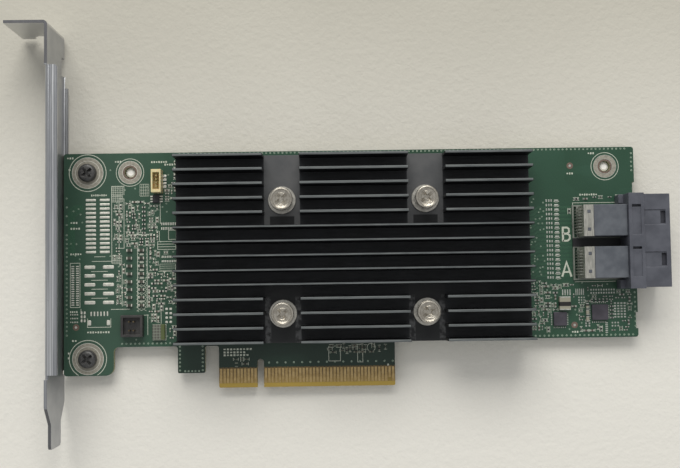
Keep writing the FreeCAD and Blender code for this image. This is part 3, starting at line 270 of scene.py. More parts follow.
window = bpy.data.lights.new("window", "AREA")
window.shape = "RECTANGLE"
window.size, window.size_y = 1.3, 0.9
window.energy = 20.5
window.color = (1, 0.985, 0.95)
lamp = bpy.data.objects.new("window", window)
lamp.location = (-0.08, 1.30, 1.10)
to_card = (cad_box[0] + cad_box[1]) / 2 - lamp.location
lamp.rotation_euler = to_card.to_track_quat("-Z", "Y").to_euler()
scene.collection.objects.link(lamp)

lens = bpy.data.cameras.new("camera")
lens.sensor_width = 36
lens.lens = 53.57
lens.clip_start = 0.01
camera = bpy.data.objects.new("camera", lens)
camera.location = (0.0207112, 0.0289633, 0.2962672)
camera.rotation_euler = (0.0518, -0.0091, -0.0144)
scene.collection.objects.link(camera)
scene.camera = camera
scene.view_settings.view_transform = "Standard"


# -------- circuit board
# An eight-layer glass-epoxy board, routed to its outline, with a dark green solder mask on both
# faces. The routed edges show the pale laminate and its copper layers.

def dress(name, finish, edge=0, steps=2, angle=50):
    """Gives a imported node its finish, and its sharp edges a small radius in millimetres."""
    mesh = node[name].data
    mesh.materials.clear()
    mesh.materials.append(finish.material)
    if edge:
        weld = node[name].modifiers.new("weld", "WELD")
        weld.merge_threshold = 0.002 * MM
        bevel = node[name].modifiers.new("edges", "BEVEL")
        bevel.width = edge * MM
        bevel.segments = steps
        bevel.limit_method = "ANGLE"
        bevel.angle_limit = math.radians(angle)


mask = Finish("solder_mask", specular=0.42)
point, x, y, z = mask.place()
patch = mask.add("TexVoronoi", {"Vector": point, "Scale": 0.085}, distance="CHEBYCHEV")["Color"]
pour = mask.ramp(mask.add("SeparateColor", {0: patch})[0], 0.42, 0.46)
cloud, speck = mask.grain(22), mask.grain(0.35)
weave = mask.times(*(mask.waves(point, way, 0.75, 0.6) for way in "XY"))
mask.look(mask.mix(pour, mask.tones(cloud, (36, 69, 50), (42, 75, 57), 0.35, 0.65),
                   mask.tones(cloud, (38, 72, 53), (45, 79, 61), 0.35, 0.65)),
          mask.ramp(mask.facing("Z", 0.15, 0.25), 0, 1, 0.33, 0.8),
          mask.maths("ADD", weave, speck), 0.1, 0.03)
mask.over((52, 88, 66), mask.ramp(speck, 0.3, 0.75, 0.35))
PAINTED_LIGHT_NEAR_BRACKET, SINK_SHADE_STRIP, GUIDE_TAB = (-18, -48), (13.6, 12.6), (-27, -25)
# Painted light: the mask is painted paler towards the bracket, lifting the bracket's shade on the
# left end.
mask.over((62, 86, 72), mask.ramp(x, *PAINTED_LIGHT_NEAR_BRACKET, 0.6))
# Painted shade: the mask in the strip below the heat sink is painted darker for the heat sink's
# shadow.
mask.over((17, 31, 24), mask.ramp(y, *SINK_SHADE_STRIP), mask.ramp(x, *GUIDE_TAB, 0.7))
TAB_LEFT, TAB_RIGHT, MASK_END, BEVEL_END, EDGE = -12.4, 39.4, 5.85, 1.25, 0.02
bare = mask.mix(mask.ramp(y, BEVEL_END, BEVEL_END + 3), (142, 117, 54), (84, 66, 38))
bare = mask.mix(mask.ramp(y, BEVEL_END - 0.05, BEVEL_END + 0.05), (174, 146, 62), bare)
bare = mask.mix(mask.ramp(speck, 0.3, 0.75, 0.3), bare, (170, 146, 84))
mask.over(bare, mask.ramp(x, TAB_LEFT, TAB_LEFT + EDGE),
          mask.ramp(x, TAB_RIGHT + EDGE, TAB_RIGHT), mask.ramp(y, MASK_END + EDGE, MASK_END))
layer = mask.maths("SINE", mask.times(z, 28))
laminate = mask.tones(layer, (126, 128, 92), (150, 116, 74), 0.55, 0.9)
mask.over(mask.tones(speck, laminate, (166, 168, 136), 0.35, 0.7), mask.facing("Z", 0.25, 0.15))
dress("circuit_board", mask)


# -------- copper under the mask
# Etched tracks lie under the solder mask as raised, slightly paler lines: a bundle behind the
# edge contacts, paired tracks from the sockets, and loops across the left end.

BELOW_FACE = -0.01


class Printed:
    """Many small flat shapes on the board's face, gathered into one mesh.

    Places are in millimetres from the board's left end, from the finger edge, and above the face.
    """

    def __init__(self):
        self.points, self.faces = [], []

    def solid(self, rings, closed=False):
        rings = [[(BOARD_LEFT + x, y, z) for x, y, z in ring] for ring in rings]
        loft(self.points, self.faces, rings, closed)

    def block(self, x, y, width, height, low, high, chamfer):
        """A rectangular block centred on (x, y), with its top edge taken off."""
        rings = []
        for inset, z in ((0, low), (0, high - chamfer), (chamfer, high)):
            a, b = width / 2 - inset, height / 2 - inset
            rings.append([(x + p, y + q, z) for p, q in ((-a, -b), (a, -b), (a, b), (-a, b))])
        self.solid(rings)

    def pillow(self, x, y, width, height, high):
        """A soft-edged pad of solder or tin, domed towards its middle."""
        small = min(width, height)
        rings = []
        for inset, z in ((0, BELOW_FACE), (0, high * 0.25), (small * 0.10, high * 0.75),
                         (small * 0.24, high)):
            a, b = width / 2 - inset, height / 2 - inset
            c = min(a, b) * 0.35
            rings.append([(x + p, y + q, z) for p, q in (
                (c - a, -b), (a - c, -b), (a, c - b), (a, b - c),
                (a - c, b), (c - a, b), (-a, b - c), (-a, c - b))])
        self.solid(rings)

    def ring(self, x, y, outer, inner, high, low=BELOW_FACE, sides=48):
        """A flat ring with a square section."""
        profile = ((outer, low), (outer, high), (inner, high), (inner, low))
        self.solid([circle(x, y, radius, z, sides) for radius, z in profile], closed=True)

    def line(self, route, width, high, closed=False):
        """A strip of one width along a route, with its corners mitred."""
        route = [Vector(point) for point in route]
        last = len(route) - 1
        sections = []
        for i, here in enumerate(route):
            ways = []
            if i or closed:
                ways.append(here - route[i - 1])
            if i < last or closed:
                ways.append(route[(i + 1) % (last + 1)] - here)
            normals = [Vector((-way.y, way.x)).normalized() for way in ways]
            across = sum(normals, Vector((0, 0))).normalized()
            across *= width / 2 / max(0.5, across.dot(normals[0]))
            left, right = here + across, here - across
            sections.append([(*left, BELOW_FACE), (*left, high), (*right, high),
                             (*right, BELOW_FACE)])
        self.solid(sections, closed)

    def made(self, name, finish, slot):
        build(name, self.points, self.faces, finish, slot)


class Ground:
    """Which quarter-millimetre squares of the board's face already hold something."""

    def __init__(self):
        self.taken = set()

    def squares(self, x0, y0, x1, y1):
        return {(i, j) for i in range(math.floor(x0 * 4), math.ceil(x1 * 4))
                for j in range(math.floor(y0 * 4), math.ceil(y1 * 4))}

    def take(self, *area):
        self.taken |= self.squares(*area)

    def free(self, *area):
        return not self.taken & self.squares(*area)

def about(x, y, half_x, half_y):
    """The area round a place."""
    return x - half_x, y - half_y, x + half_x, y + half_y


ground = Ground()
MARGIN = 0.12
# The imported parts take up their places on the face; the board and the bracket don't count.
for name in node.keys() - {"circuit_board", "bracket"}:
    mesh = node[name].data
    for polygon in mesh.polygons:
        corners = [mesh.vertices[i].co / MM for i in polygon.vertices]
        xs = [corner.x - BOARD_LEFT for corner in corners]
        ys = [corner.y for corner in corners]
        if max(corner.z for corner in corners) > 0.0:
            ground.take(min(xs) - MARGIN, min(ys) - MARGIN, max(xs) + MARGIN, max(ys) + MARGIN)
SCREW_PADS = [(7, 63.2), (7, 8.9)]
for places, clear in ((SCREW_PADS, 5.6), (TOOLING_HOLES, 4.2)):
    for x, y in places:
        ground.take(*about(x, y, clear, clear))

masked = Finish("masked_copper", specular=0.42)
point, x, y, z = masked.place()
speck = masked.grain(0.5)
masked.look(masked.tones(speck, (47, 86, 63), (62, 101, 76)), 0.34, speck, 0.15, 0.02)
# Painted shade: tracks in the strip below the heat sink are painted darker for its shadow.
masked.over((28, 50, 40), masked.ramp(y, 14.6, 13.6))

tracks = Printed()
KEY_X = -BOARD_LEFT


def track(*route):
    """One etched line."""
    tracks.line(route, 0.16, 0.012)


fingers = [KEY_X - 1.5 - i for i in range(11)] + [KEY_X + 1.5 + i for i in range(38)]
for i, x in enumerate(fingers):
    end = 7.6 + (i % 3) * 1.3
    if i % 4 != 3:
        track((x, 5.4), (x, end), (x + 0.5, end + 0.5), (x + 0.5, 14.5))
for row in range(18):
    bend = 0.42 + (row % 3) * 0.15
    for gap in (-0.17, 0.17):
        y = 31.2 + row * 1.18 + gap
        track((135.2, y - 0.9), (137.2 + bend, y - 0.9), (138.1 + bend, y), (141.6, y))
        track((145.3, y), (149.2, y))
for lane in range(7):
    x, y = 1.35 + lane * 0.3, 53.6 - lane * 0.3
    track((x, 39), (x, y - 1.6), (x + 1.6, y), (5.6, y))
for lane in range(9):
    x, y = 137.0 + lane * 0.34, 26.0 + lane * 0.34
    track((x, 15), (x, y), (x + 1.2, y + 1.2), (x + 1.2, 29.6))
tracks.made("masked_tracks", masked, "board_green")


# -------- tinned lands and vias
# Bare footprints, plated pads and the rows of stitching vias along the edges. The copper is
# tin-plated; solder left on the lands is slightly domed and bright.

def grained(name, dark, pale, size, detail, rough, strength, depth, metallic=0, specular=0.5,
            **stretch):
    """A finish in two tones of one grain, which is its relief too."""
    made = Finish(name, metallic, specular)
    grain = made.grain(size, detail, **stretch)
    if isinstance(rough, tuple):
        rough = (grain, *rough)
    made.look(made.tones(grain, dark, pale), rough, grain, strength, depth)
    return made


tin = Finish("tin_plate", metallic=0.6)
point, x, y, z = tin.place()
wash = tin.grain(0.9)
tin.look(tin.tones(wash, (202, 201, 190), (232, 230, 218)), (wash, 0.38, 0.52),
         tin.grain(0.12, 2), 0.2, 0.02)
OLD_TIN_FROM = -23.0
tin.over(tin.tones(wash, (160, 162, 155), (194, 196, 187)),
         tin.ramp(x, OLD_TIN_FROM - 1, OLD_TIN_FROM + 1))
# Painted shade: tin in the strip below the heat sink is painted darker for its shadow.
tin.over((128, 132, 118), tin.ramp(y, 13.2, 12.2), tin.ramp(x, *GUIDE_TAB))

lands = Printed()


def land_grid(x, y, rows, columns, pitch_x, pitch_y, wide, tall, high=0.035):
    """Like lands in rows and columns; (x, y) is the middle of the first."""
    for column in range(columns):
        for row in range(rows):
            lands.pillow(x + column * pitch_x, y + row * pitch_y, wide, tall, high)


land_grid(7.9, 55.2, 13, 1, 0, -1.27, 3, 0.65, 0.06)
land_grid(11.95, 55.2, 13, 1, 0, -1.27, 2.9, 0.65, 0.06)
for y in (35.55, 33.05, 30.45, 27.83, 25.24):
    lands.pillow(7.58, y, 3.15, 0.95, 0.06)
    lands.pillow(13, y, 3.2, 0.95, 0.06)
land_grid(2.62, 24.6, 18, 2, 1.33, 0.66, 0.85, 0.34, 0.03)
land_grid(7.95, 21.95, 1, 6, 0.95, 0, 0.42, 1.25, 0.05)
land_grid(7.45, 19.35, 1, 2, 5.5, 0, 0.95, 1.5, 0.05)
COUPLING_ROWS, COUPLING_Y, COUPLING_PITCH = 18, 30.66, 1.329
for x, wide, tall, high in ((141.6, 0.42, 0.70, 0.04), (142.35, 0.42, 0.70, 0.04),
                            (143.05, 0.42, 0.70, 0.04), (144.55, 1.25, 0.52, 0.05)):
    land_grid(x, COUPLING_Y, COUPLING_ROWS, 1, 0, COUPLING_PITCH, wide, tall, high)
for area in ((6.2, 39.4, 13.6, 55.8), (5.8, 24.6, 14.8, 36.3), (1.7, 23.7, 4.9, 37),
             (6.6, 17.8, 13.9, 22.7), (141.2, 30, 145.6, 53.9)):
    ground.take(*area)
for x, y, rows, columns, pitch_x, pitch_y, wide, tall in (
        (2, 19.6, 3, 5, 0.5, 1.1, 0.25, 0.4), (5.15, 20, 3, 2, 0.9, 1.15, 0.5, 0.8),
        (28.6, 46.6, 2, 9, 0.5, 1.35, 0.28, 0.75), (28.7, 37, 2, 9, 0.5, 1.3, 0.3, 0.6),
        (29.9, 19.3, 4, 2, 1.2, 1.27, 0.75, 0.6), (50.1, 6.1, 2, 1, 0.9, 1, 0.9, 0.35),
        (145.75, 25.4, 1, 4, 0.72, 1, 0.36, 1.7), (149.65, 25.4, 1, 5, 0.55, 1, 0.26, 1.9),
        (154.1, 26, 2, 10, 0.75, 0.9, 0.42, 0.5), (152.4, 16.4, 3, 2, 0.95, 0.75, 0.5, 0.5),
        (158.4, 14.4, 6, 1, 1, 0.55, 0.75, 0.3), (161, 18.9, 6, 4, 0.95, 0.8, 0.6, 0.45),
        (160.1, 16.3, 2, 3, 0.85, 0.9, 0.45, 0.45), (150.5, 23.2, 3, 3, 0.75, 0.75, 0.42, 0.42),
        (154.3, 22.95, 1, 8, 0.55, 1, 0.24, 0.4), (154.3, 17.25, 1, 8, 0.55, 1, 0.24, 0.4),
        (159.15, 18.6, 8, 1, 1, 0.5, 0.4, 0.22), (153.55, 18.6, 8, 1, 1, 0.5, 0.4, 0.22),
        (143, 15.85, 1, 7, 0.55, 1, 0.24, 0.4), (147, 16.9, 7, 1, 1, 0.5, 0.4, 0.22),
        (142.3, 16.9, 7, 1, 1, 0.5, 0.4, 0.22)):
    single = tall / 2 if rows == 1 else 0
    land_grid(x, y + single, rows, columns, pitch_x, pitch_y, wide, tall)
    ground.take(x - wide, y - tall, x + (columns - 1) * pitch_x + wide,
                y + (rows - 1) * pitch_y + tall * 1.5)
lands.made("tinned_lands", tin, "tinned")

# Each row of vias: its first one, the step to the next, and how many.
vias = Printed()
for x0, y0, step_x, step_y, count in (
        (40.2, 68.45, 1.2, 0, 75), (33.9, 68.45, 1.3, 0, 5), (134.6, 68.4, 1.22, 0, 26),
        (166.95, 67, 0, -1.27, 5), (166.9, 26, 0, -1.4, 8), (136.2, 13.7, 1.3, 0, 24),
        (16.9, 13.15, 1.27, 0, 12), (0.85, 15.8, 0, 1.27, 24), (0.85, 48, 0, 2.6, 4),
        (33.7, 5.2, 0, 1.15, 7), (40.3, 5.2, 0, 1.15, 7), (35.2, 4.95, 1, 0, 5),
        (59.6, 7.1, 2.4, 0, 16)):
    for i in range(count):
        x, y = x0 + i * step_x, y0 + i * step_y
        if ground.free(*about(x, y, 0.2, 0.2)):
            vias.ring(x, y, 0.28, 0.12, 0.02, sides=10)
            ground.take(*about(x, y, 0.3, 0.3))
shuffle = random.Random(41)
for loose in range(240):
    x0, x1, y0, y1 = shuffle.choice([(1.5, 34, 24, 66), (14, 34, 14, 60),
                                     (136, 165.5, 14.5, 30), (136, 141.4, 30, 54)])
    x, y = shuffle.uniform(x0, x1), shuffle.uniform(y0, y1)
    if ground.free(*about(x, y, 0.3, 0.3)):
        vias.ring(x, y, 0.24, 0.11, 0.018, sides=8)
        ground.take(*about(x, y, 0.2, 0.2))
vias.made("stitching_vias", grained("masked_via", (122, 144, 124), (180, 193, 174), 0.4, 3, 0.4,
                                    0.1, 0.02, metallic=0.2), "tinned")

hole_rings, ring_rims, copper_rings, marks = Printed(), Printed(), Printed(), Printed()
for x, y in SCREW_PADS:
    hole_rings.ring(x, y, 4.58, 1.75, 0.03, sides=72)
    ring_rims.ring(x, y, 4.60, 4.46, 0.06, 0.02, 72)
    ring_rims.ring(x, y, 3.62, 3.48, 0.05, 0.02, 72)
for x, y in TOOLING_HOLES:
    hole_rings.ring(x, y, 3.38, 2.12, 0.03, sides=72)
    ring_rims.ring(x, y, 3.40, 3.28, 0.05, 0.02, 72)
    ring_rims.ring(x, y, 2.24, 2.12, 0.05, 0.02, 72)
    copper_rings.ring(x, y, 2.10, 1.60, 0.02, sides=64)
for x, y in ((148.8, 63.5), (149, 16.7), (3.55, 18.1)):
    copper_rings.ring(x, y, 0.95, 0.30, 0.018, sides=32)
    marks.ring(x, y, 0.36, 0.02, 0.03, sides=20)
    ground.take(*about(x, y, 1.1, 1.1))
hole_rings.made("hole_rings", grained("dull_tin_ring", (142, 139, 127), (170, 165, 151), 0.7, 4,
                                      (0.45, 0.6), 0.2, 0.03, metallic=0.35), "tinned")
ring_rims.made("ring_rims", tin, "tinned")
copper_rings.made("bare_copper_rings", grained("bare_copper_ring", (104, 88, 78), (128, 108, 96),
                                               0.5, 3, 0.5, 0.15, 0.02, metallic=0.3),
                  "board_green")
marks.made("alignment_marks", tin, "tinned")


# -------- smallest surface parts
# The crowd of 1.0 by 0.5 mm resistors and capacitors round the chips: a body, two tinned caps
# and a solder fillet at each end. They are placed by machine and reflow-soldered.

body = Finish("small_part_body", specular=0.45)
body.look(body.tones(body.grain(2, 1), (34, 34, 36), (88, 80, 68), 0.46, 0.54), 0.45,
          body.grain(0.08, 2), 0.15, 0.02)
small_bodies, small_ends = Printed(), Printed()
small_places = []
LAYOUT_GRID = 0.45


def small_part(x, y, upright, long, wide):
    """One two-ended part with its caps and solder; upright parts run up the board."""
    tall, cap = wide * 0.7, long * 0.26

    def lay(shape, along, length, breadth, *heights):
        if upright:
            shape(x, y + along, breadth, length, *heights)
        else:
            shape(x + along, y, length, breadth, *heights)

    lay(small_bodies.block, 0, long - 2 * cap + 0.04, wide * 0.94, 0, tall * 0.95, 0.03)
    for side in (-1, 1):
        lay(small_ends.block, side * (long - cap) / 2, cap, wide, 0, tall, 0.05)
        lay(small_ends.pillow, side * (long / 2 + 0.11), 0.34, wide * 1.1, tall * 0.45)


def scatter(x0, y0, x1, y1, tries, seed):
    """Parts at free places of an area, on a coarse grid as a layout has them."""
    draw = random.Random(seed)
    for attempt in range(tries):
        x = x0 + round(draw.uniform(0, x1 - x0) / LAYOUT_GRID) * LAYOUT_GRID
        y = y0 + round(draw.uniform(0, y1 - y0) / LAYOUT_GRID) * LAYOUT_GRID
        upright = draw.random() < 0.5
        long, wide = (1, 0.5) if draw.random() < 0.55 else (0.6, 0.32)
        half_x, half_y = long / 2 + 0.3, wide / 2 + 0.14
        if upright:
            half_x, half_y = half_y, half_x
        inside = (x - half_x >= x0 and x + half_x <= x1 and y - half_y >= y0 and y + half_y <= y1)
        if inside and ground.free(*about(x, y, half_x, half_y)):
            small_part(x, y, upright, long, wide)
            small_places.append((x, y, upright, long))
            ground.take(*about(x, y, half_x, half_y))


COLUMN_GAPS = [25.45 + row * 2.29 for row in range(7)]
COLUMN_GAPS = [y for y in COLUMN_GAPS if ground.free(21.9, y - 0.2, 23.5, y + 0.2)]
for y in COLUMN_GAPS:
    ground.take(21.9, y - 0.3, 23.5, y + 0.3)
for area in ((14, 54.4, 17.3, 59.2), (27.2, 40.2, 32.9, 43), (27.8, 34.2, 32.8, 36.4),
             (28.6, 48.6, 32.6, 53.4), (28.2, 43.4, 30.4, 45.9), (17.8, 56, 21.8, 59),
             (27.8, 60.6, 32.9, 60.8)):
    ground.take(*area)
CROWDS = [(14.4, 37.4, 17.4, 58.8, 720), (18, 41, 25, 55, 1260),
          (24.4, 22, 33.2, 42.6, 2700), (24.6, 42, 28, 54, 900),
          (28, 54.6, 33.2, 60.4, 600), (15.2, 24, 18.2, 36.6, 480),
          (24.8, 19.2, 28, 24, 480), (30, 13.8, 33.2, 18.6, 270),
          (135.9, 14.6, 142.2, 30, 1500), (142.2, 20.8, 150, 29, 600),
          (150, 14.6, 166, 28.8, 1680), (148.6, 53.2, 161.4, 54.4, 180),
          (48.6, 6.4, 54.4, 8.8, 240), (76, 9.4, 94, 12.4, 120),
          (147.8, 47.4, 149.1, 51.4, 90), (32, 61, 33.4, 66.8, 90)]
for seed, crowd in enumerate(CROWDS, 1):
    scatter(*crowd, seed)
small_bodies.made("small_part_bodies", body, "resistor_black")
small_ends.made("small_part_ends", tin, "tinned")


# -------- silk marks
# Off-white ink screened on the mask: outlines round footprints, rings round the holes, short
# dashes, and one plain letter beside each socket.

ink = Finish("silk_ink", specular=0.3)
wash = ink.grain(0.25, 4)
ink.look(ink.tones(wash, (172, 180, 162), (214, 216, 202), 0.3, 0.65), 0.6, wash, 0.2, 0.02)
silk = Printed()
INK = 0.018


def outline(x0, y0, x1, y1):
    """A screened rectangle."""
    silk.line([(x0, y0), (x1, y0), (x1, y1), (x0, y1)], 0.15, INK, closed=True)


def stroke(*route, width=0.15):
    """A screened line; each next one lies a hair higher, so that crossings never coincide."""
    silk.line(route, width, INK + len(silk.faces) % 7 * 0.0009)


def ladder(x0, y0, x1, y1, rungs, posts, width=0.10):
    """Close lines across and up a footprint."""
    for i in range(rungs):
        y = y0 + (y1 - y0) * i / (rungs - 1)
        stroke((x0, y), (x1, y), width=width)
    for i in range(posts):
        x = x0 + (x1 - x0) * i / (posts - 1)
        stroke((x, y0), (x, y1), width=width)


def bow(x, y, across, up, degrees):
    """Points of an arc about (x, y)."""
    turns = [math.radians(turn) for turn in degrees]
    return [(x + across * math.cos(turn), y + up * math.sin(turn)) for turn in turns]


for x, y in SCREW_PADS:
    stroke(*bow(x, y, 5.4, 5.4, range(-60, 241, 4)), width=0.2)
stroke(*bow(*SCREW_PADS[0], 5.4, 5.4, range(240, 301, 4)), width=0.2)
ladder(14.1, 54.6, 17.2, 59, 9, 7)
ladder(22.3, 56.2, 24.9, 59.7, 5, 6)
ladder(14.1, 36.5, 16.9, 38.9, 6, 6)
ladder(27.4, 40.5, 32.7, 42.8, 4, 2, 0.16)
ladder(28, 34.4, 32.6, 36.2, 4, 2)
for row in range(8):
    y = 23.1 + row * 1.145
    stroke((21.2, y - 0.5), (22.6, y + 0.5), (24, y - 0.5), width=0.12)
    stroke((21.2, y + 0.62), (22.6, y - 0.38), (24, y + 0.62), width=0.12)
for x, y in TOOLING_HOLES:
    silk.ring(x, y, 4.12, 3.95, INK, sides=72)
outline(1.9, 23.9, 4.7, 36.8)
outline(16.15, 41, 17.6, 55.5)
for route in (
        ((14, 36.7), (14, 59.2), (17.6, 59.2), (17.6, 56.6)), ((8.2, 37.25), (13.9, 37.25)),
        ((8.9, 38.6), (12.1, 38.6)), ((8, 34.3), (12.8, 34.3)), ((8, 31.75), (12.8, 31.75)),
        ((8, 29.15), (12.8, 29.15)), ((8, 26.5), (12.8, 26.5)), ((5, 23.4), (5, 22.4)),
        ((13.7, 23.2), (19.2, 23.2)), ((17, 24), (17, 36)),
        ((6.9, 20.6), (6.9, 18.06), (13.65, 18.06), (13.65, 20.6)),
        ((24.4, 15.6), (24.4, 21.4), (16.9, 21.4)), ((28.2, 48), (28.2, 54.4)),
        ((28.3, 18.8), (28.3, 26.2)), ((27.6, 34.1), (32.6, 34.1)), ((21.5, 23.6), (21.5, 41.2)),
        ((24.3, 23.6), (24.3, 41.2))):
    stroke(*route)
for row in range(15):
    y = 24.4 + row * 1.145
    for side in (21.5, 24):
        stroke((side, y - 0.2), (side + 0.3, y + 0.2), width=0.12)
for y in COLUMN_GAPS:
    stroke((22.1, y), (23.3, y), width=0.62)
stroke((33, 48.2), (33, 53.6))
outline(30.6, 43.4, 32.8, 46.1)
stroke((27.9, 43), (27.9, 45.9))
for y in (51.8, 52.7, 54.6, 56.4):
    stroke((14.4, y), (17, y))
outline(18.7, 44.8, 24.9, 45)
outline(25.9, 14.1, 29.7, 18.6)
for i in range(4):
    stroke((26.2 + i, 14.4), (26.2 + i, 18.3), width=0.3)
stroke((149.34, 50.5), (149.34, 52.5), (162, 52.5), (162, 54.7), (164.6, 54.7))
stroke((149.4, 29.3), (161.4, 29.3))
stroke((77, 7.3), (77, 11.6), (80.4, 11.6), (80.4, 7.3), (77, 7.3))
silk.ring(89.4, 11.1, 1.25, 1.1, INK, sides=32)
outline(85.4, 6.9, 86.9, 12)
for row in range(COUPLING_ROWS):
    stroke(*bow(144.55, COUPLING_Y + row * COUPLING_PITCH, 0.86, 0.50, range(200, 341, 20)),
           width=0.10)
for column in range(17):
    x, y = 18.3 + (column % 2) * 3.5, 24.2 + column * 1.14
    if ground.free(x - 0.1, y - 0.1, x + 1.2, y + 0.1):
        stroke((x, y), (x + 1.2, y))
DASHES = [(2, 46.9, 4, 0.75), (2, 48.6, 3, 0.75), (1.9, 39.4, 5, 0.7), (8, 56.6, 8, 0.6),
          (6.8, 16.6, 9, 0.75), (2.4, 14.2, 2, 0.8), (1.4, 64.2, 1, 0.9), (1, 67.6, 3, 0.7),
          (15, 66.4, 3, 0.7), (25.6, 66.2, 7, 0.7), (29.5, 65.4, 5, 0.7), (151.4, 54.9, 8, 0.68),
          (147.8, 61.2, 3, 0.7), (148.2, 14.7, 3, 0.7), (154.2, 67.1, 3, 0.7),
          (46.4, 11.1, 9, 0.95), (46.4, 10.2, 7, 0.95), (46.4, 9.4, 8, 0.95), (82, 11, 3, 0.9),
          (1.8, 22.6, 4, 0.6), (94, 6, 1, 0.8), (1.2, 10.6, 1, 0.7), (1.2, 9.2, 1, 0.7)]
for x, y, count, pitch in DASHES:
    for i in range(count):
        tall = 0.55 if (i * 7 + count) % 3 else 0.38
        stroke((x + i * pitch, y), (x + i * pitch + pitch * 0.62, y), width=tall)
hatch = random.Random(7)
for x, y, upright, long in small_places:
    half_x, half_y = (0.42, long / 2 + 0.42) if upright else (long / 2 + 0.42, 0.42)
    kind = hatch.random()
    for side in (-1, 1):
        if kind < 0.30:
            stroke((x + side * half_x, y - half_y), (x + side * half_x, y + half_y), width=0.12)
        elif kind < 0.62:
            stroke((x - half_x, y + side * half_y), (x + half_x, y + side * half_y), width=0.12)
stroke((145.75, 30.85), (147.1, 35.1), (148.45, 30.85), width=0.6)
stroke((146.35, 32.2), (147.85, 32.2), width=0.48)
stroke((146.25, 41.2), (146.25, 45.5), width=0.6)
stroke((146.2, 45.25), (147.5, 45.25), (148.05, 44.85), (148.05, 43.95), (147.5, 43.5),
       (146.3, 43.5), width=0.54)
stroke((146.3, 43.45), (147.6, 43.45), (148.25, 42.95), (148.25, 41.95), (147.6, 41.4),
       (146.2, 41.4), width=0.54)
silk.made("silk_marks", ink, "silk_white")


# -------- edge contacts
# Hard gold over nickel on etched copper, ninety-eight pads on the two faces of the finger tab.
# Each plug-in has left fine wiping marks along the contact.

gold = Finish("hard_gold", metallic=0.92)
wipe = gold.grain(0.12, Y=14)
gold.look(gold.tones(gold.grain(1.4, 2), (168, 142, 96), (190, 164, 116)), (wipe, 0.26, 0.46),
          wipe, 0.15, 0.02)
gold.over((132, 110, 74), gold.ramp(wipe, 0.55, 0.75, 0.5))
for name in ("edge_contacts", "contact_blades_a", "contact_blades_b"):
    dress(name, gold)


# -------- bracket
# One blank of 0.86 mm steel, zinc-plated, folded into a tab, two stiffening flanges and two
# drawn ears. The rolling grain runs along it. The sheared edges are brighter, partly as wear and
# partly as a painted highlight; faces that look up are painted paler as painted light.

# Wear and highlight: a mask that is 1 along outer edges, broken up by noise, where a coat is
# rubbed thin. The paler colour laid along it is partly that wear and partly a painted highlight.
WEAR_AND_HIGHLIGHT, given, result = group("edge wear", {"Radius mm": 0.1, "Amount": 1, "Size mm": 0.6}, "Mask")
rounded = WEAR_AND_HIGHLIGHT.add("Bevel", {"Radius": WEAR_AND_HIGHLIGHT.times(given["Radius mm"], MM)}, samples=4)[0]
flat = WEAR_AND_HIGHLIGHT.add("NewGeometry", {})["Normal"]
same = WEAR_AND_HIGHLIGHT.add("VectorMath", {0: rounded, 1: flat}, operation="DOT_PRODUCT")["Value"]
patchy = WEAR_AND_HIGHLIGHT.ramp(WEAR_AND_HIGHLIGHT.grain(given["Size mm"], 4), 0.35, 0.60)
WEAR_AND_HIGHLIGHT.put(result, WEAR_AND_HIGHLIGHT.times(WEAR_AND_HIGHLIGHT.ramp(same, 0.995, 0.90), patchy, given["Amount"]))


def worn_and_highlit(finish, radius, amount, size):
    """The wear-and-highlight group's mask in a finish."""
    values = {"Radius mm": radius, "Amount": amount, "Size mm": size}
    return finish.add("Group", values, node_tree=WEAR_AND_HIGHLIGHT.tree)[0]


zinc = Finish("bright_zinc", metallic=0.88)
point, x, y, z = zinc.place()
rolled, upward = zinc.grain(0.22, 4, Y=18), zinc.facing("Z", 0.8, 0.95)
zinc.look(zinc.tones(zinc.grain(9, 4), (160, 162, 166), (182, 183, 185)),
          (rolled, 0.30, 0.44), rolled, 0.22, 0.04)
zinc.over((196, 198, 202), zinc.ramp(rolled, 0.35, 0.75, 0.4))
# Painted light: faces that look up are painted paler than the rest, as if lit from above.
zinc.over((202, 203, 204), upward)
zinc.over((142, 144, 148), zinc.ramp(zinc.grain(1.1, 1.5, Y=90), 0.4, 0.56, 0.75), upward)
zinc.over((112, 112, 116), zinc.ramp(zinc.grain(0.5), 0.66, 0.76, 0.5))
# Edge wear and painted highlight: the sheet's edges are painted paler, rubbed and catching the
# light.
zinc.over((214, 215, 216), worn_and_highlit(zinc, 0.16, 0.35, 1))
# Painted highlight: the bracket's top end is painted paler, where its rounded corner catches the
# light.
zinc.over((216, 216, 213), zinc.ramp(y, 103, 103.6, 0.7))
# Darker bands on the faces that look up, repeating along X.
flange_bands = zinc.waves(point, "X", 0.46, 0.35, 1)
zinc.over((104, 106, 110), zinc.ramp(flange_bands, 0.62, 0.9, 0.55), upward)
TAB_FROM, TONGUE_FROM = 92.2, -3.4
on_tab = zinc.times(zinc.ramp(y, TAB_FROM, TAB_FROM + 0.3), upward)
on_tongue = zinc.times(zinc.ramp(y, TONGUE_FROM, TONGUE_FROM - 0.3), zinc.facing("X", 0.6, 0.3))
zinc.over((112, 112, 114), zinc.maths("ADD", on_tab, on_tongue))
dress("bracket", zinc, 0.14)


# -------- bracket screws
# Two pan-head machine screws, cold-headed and thread-rolled steel with black zinc plate, driven
# through the board into the bracket's ears. Each has a cross recess.

def cross(x, y, z, reach, half):
    """The outline of a cross recess at one height; its arms are turned by 38 degrees."""
    corners = []
    for quarter in range(4):
        turn = math.radians(38 + 90 * quarter)
        corners += [(x + p * math.cos(turn) - q * math.sin(turn),
                     y + p * math.sin(turn) + q * math.cos(turn), z)
                    for p, q in ((reach, -half), (reach, half), (half, half))]
    return corners


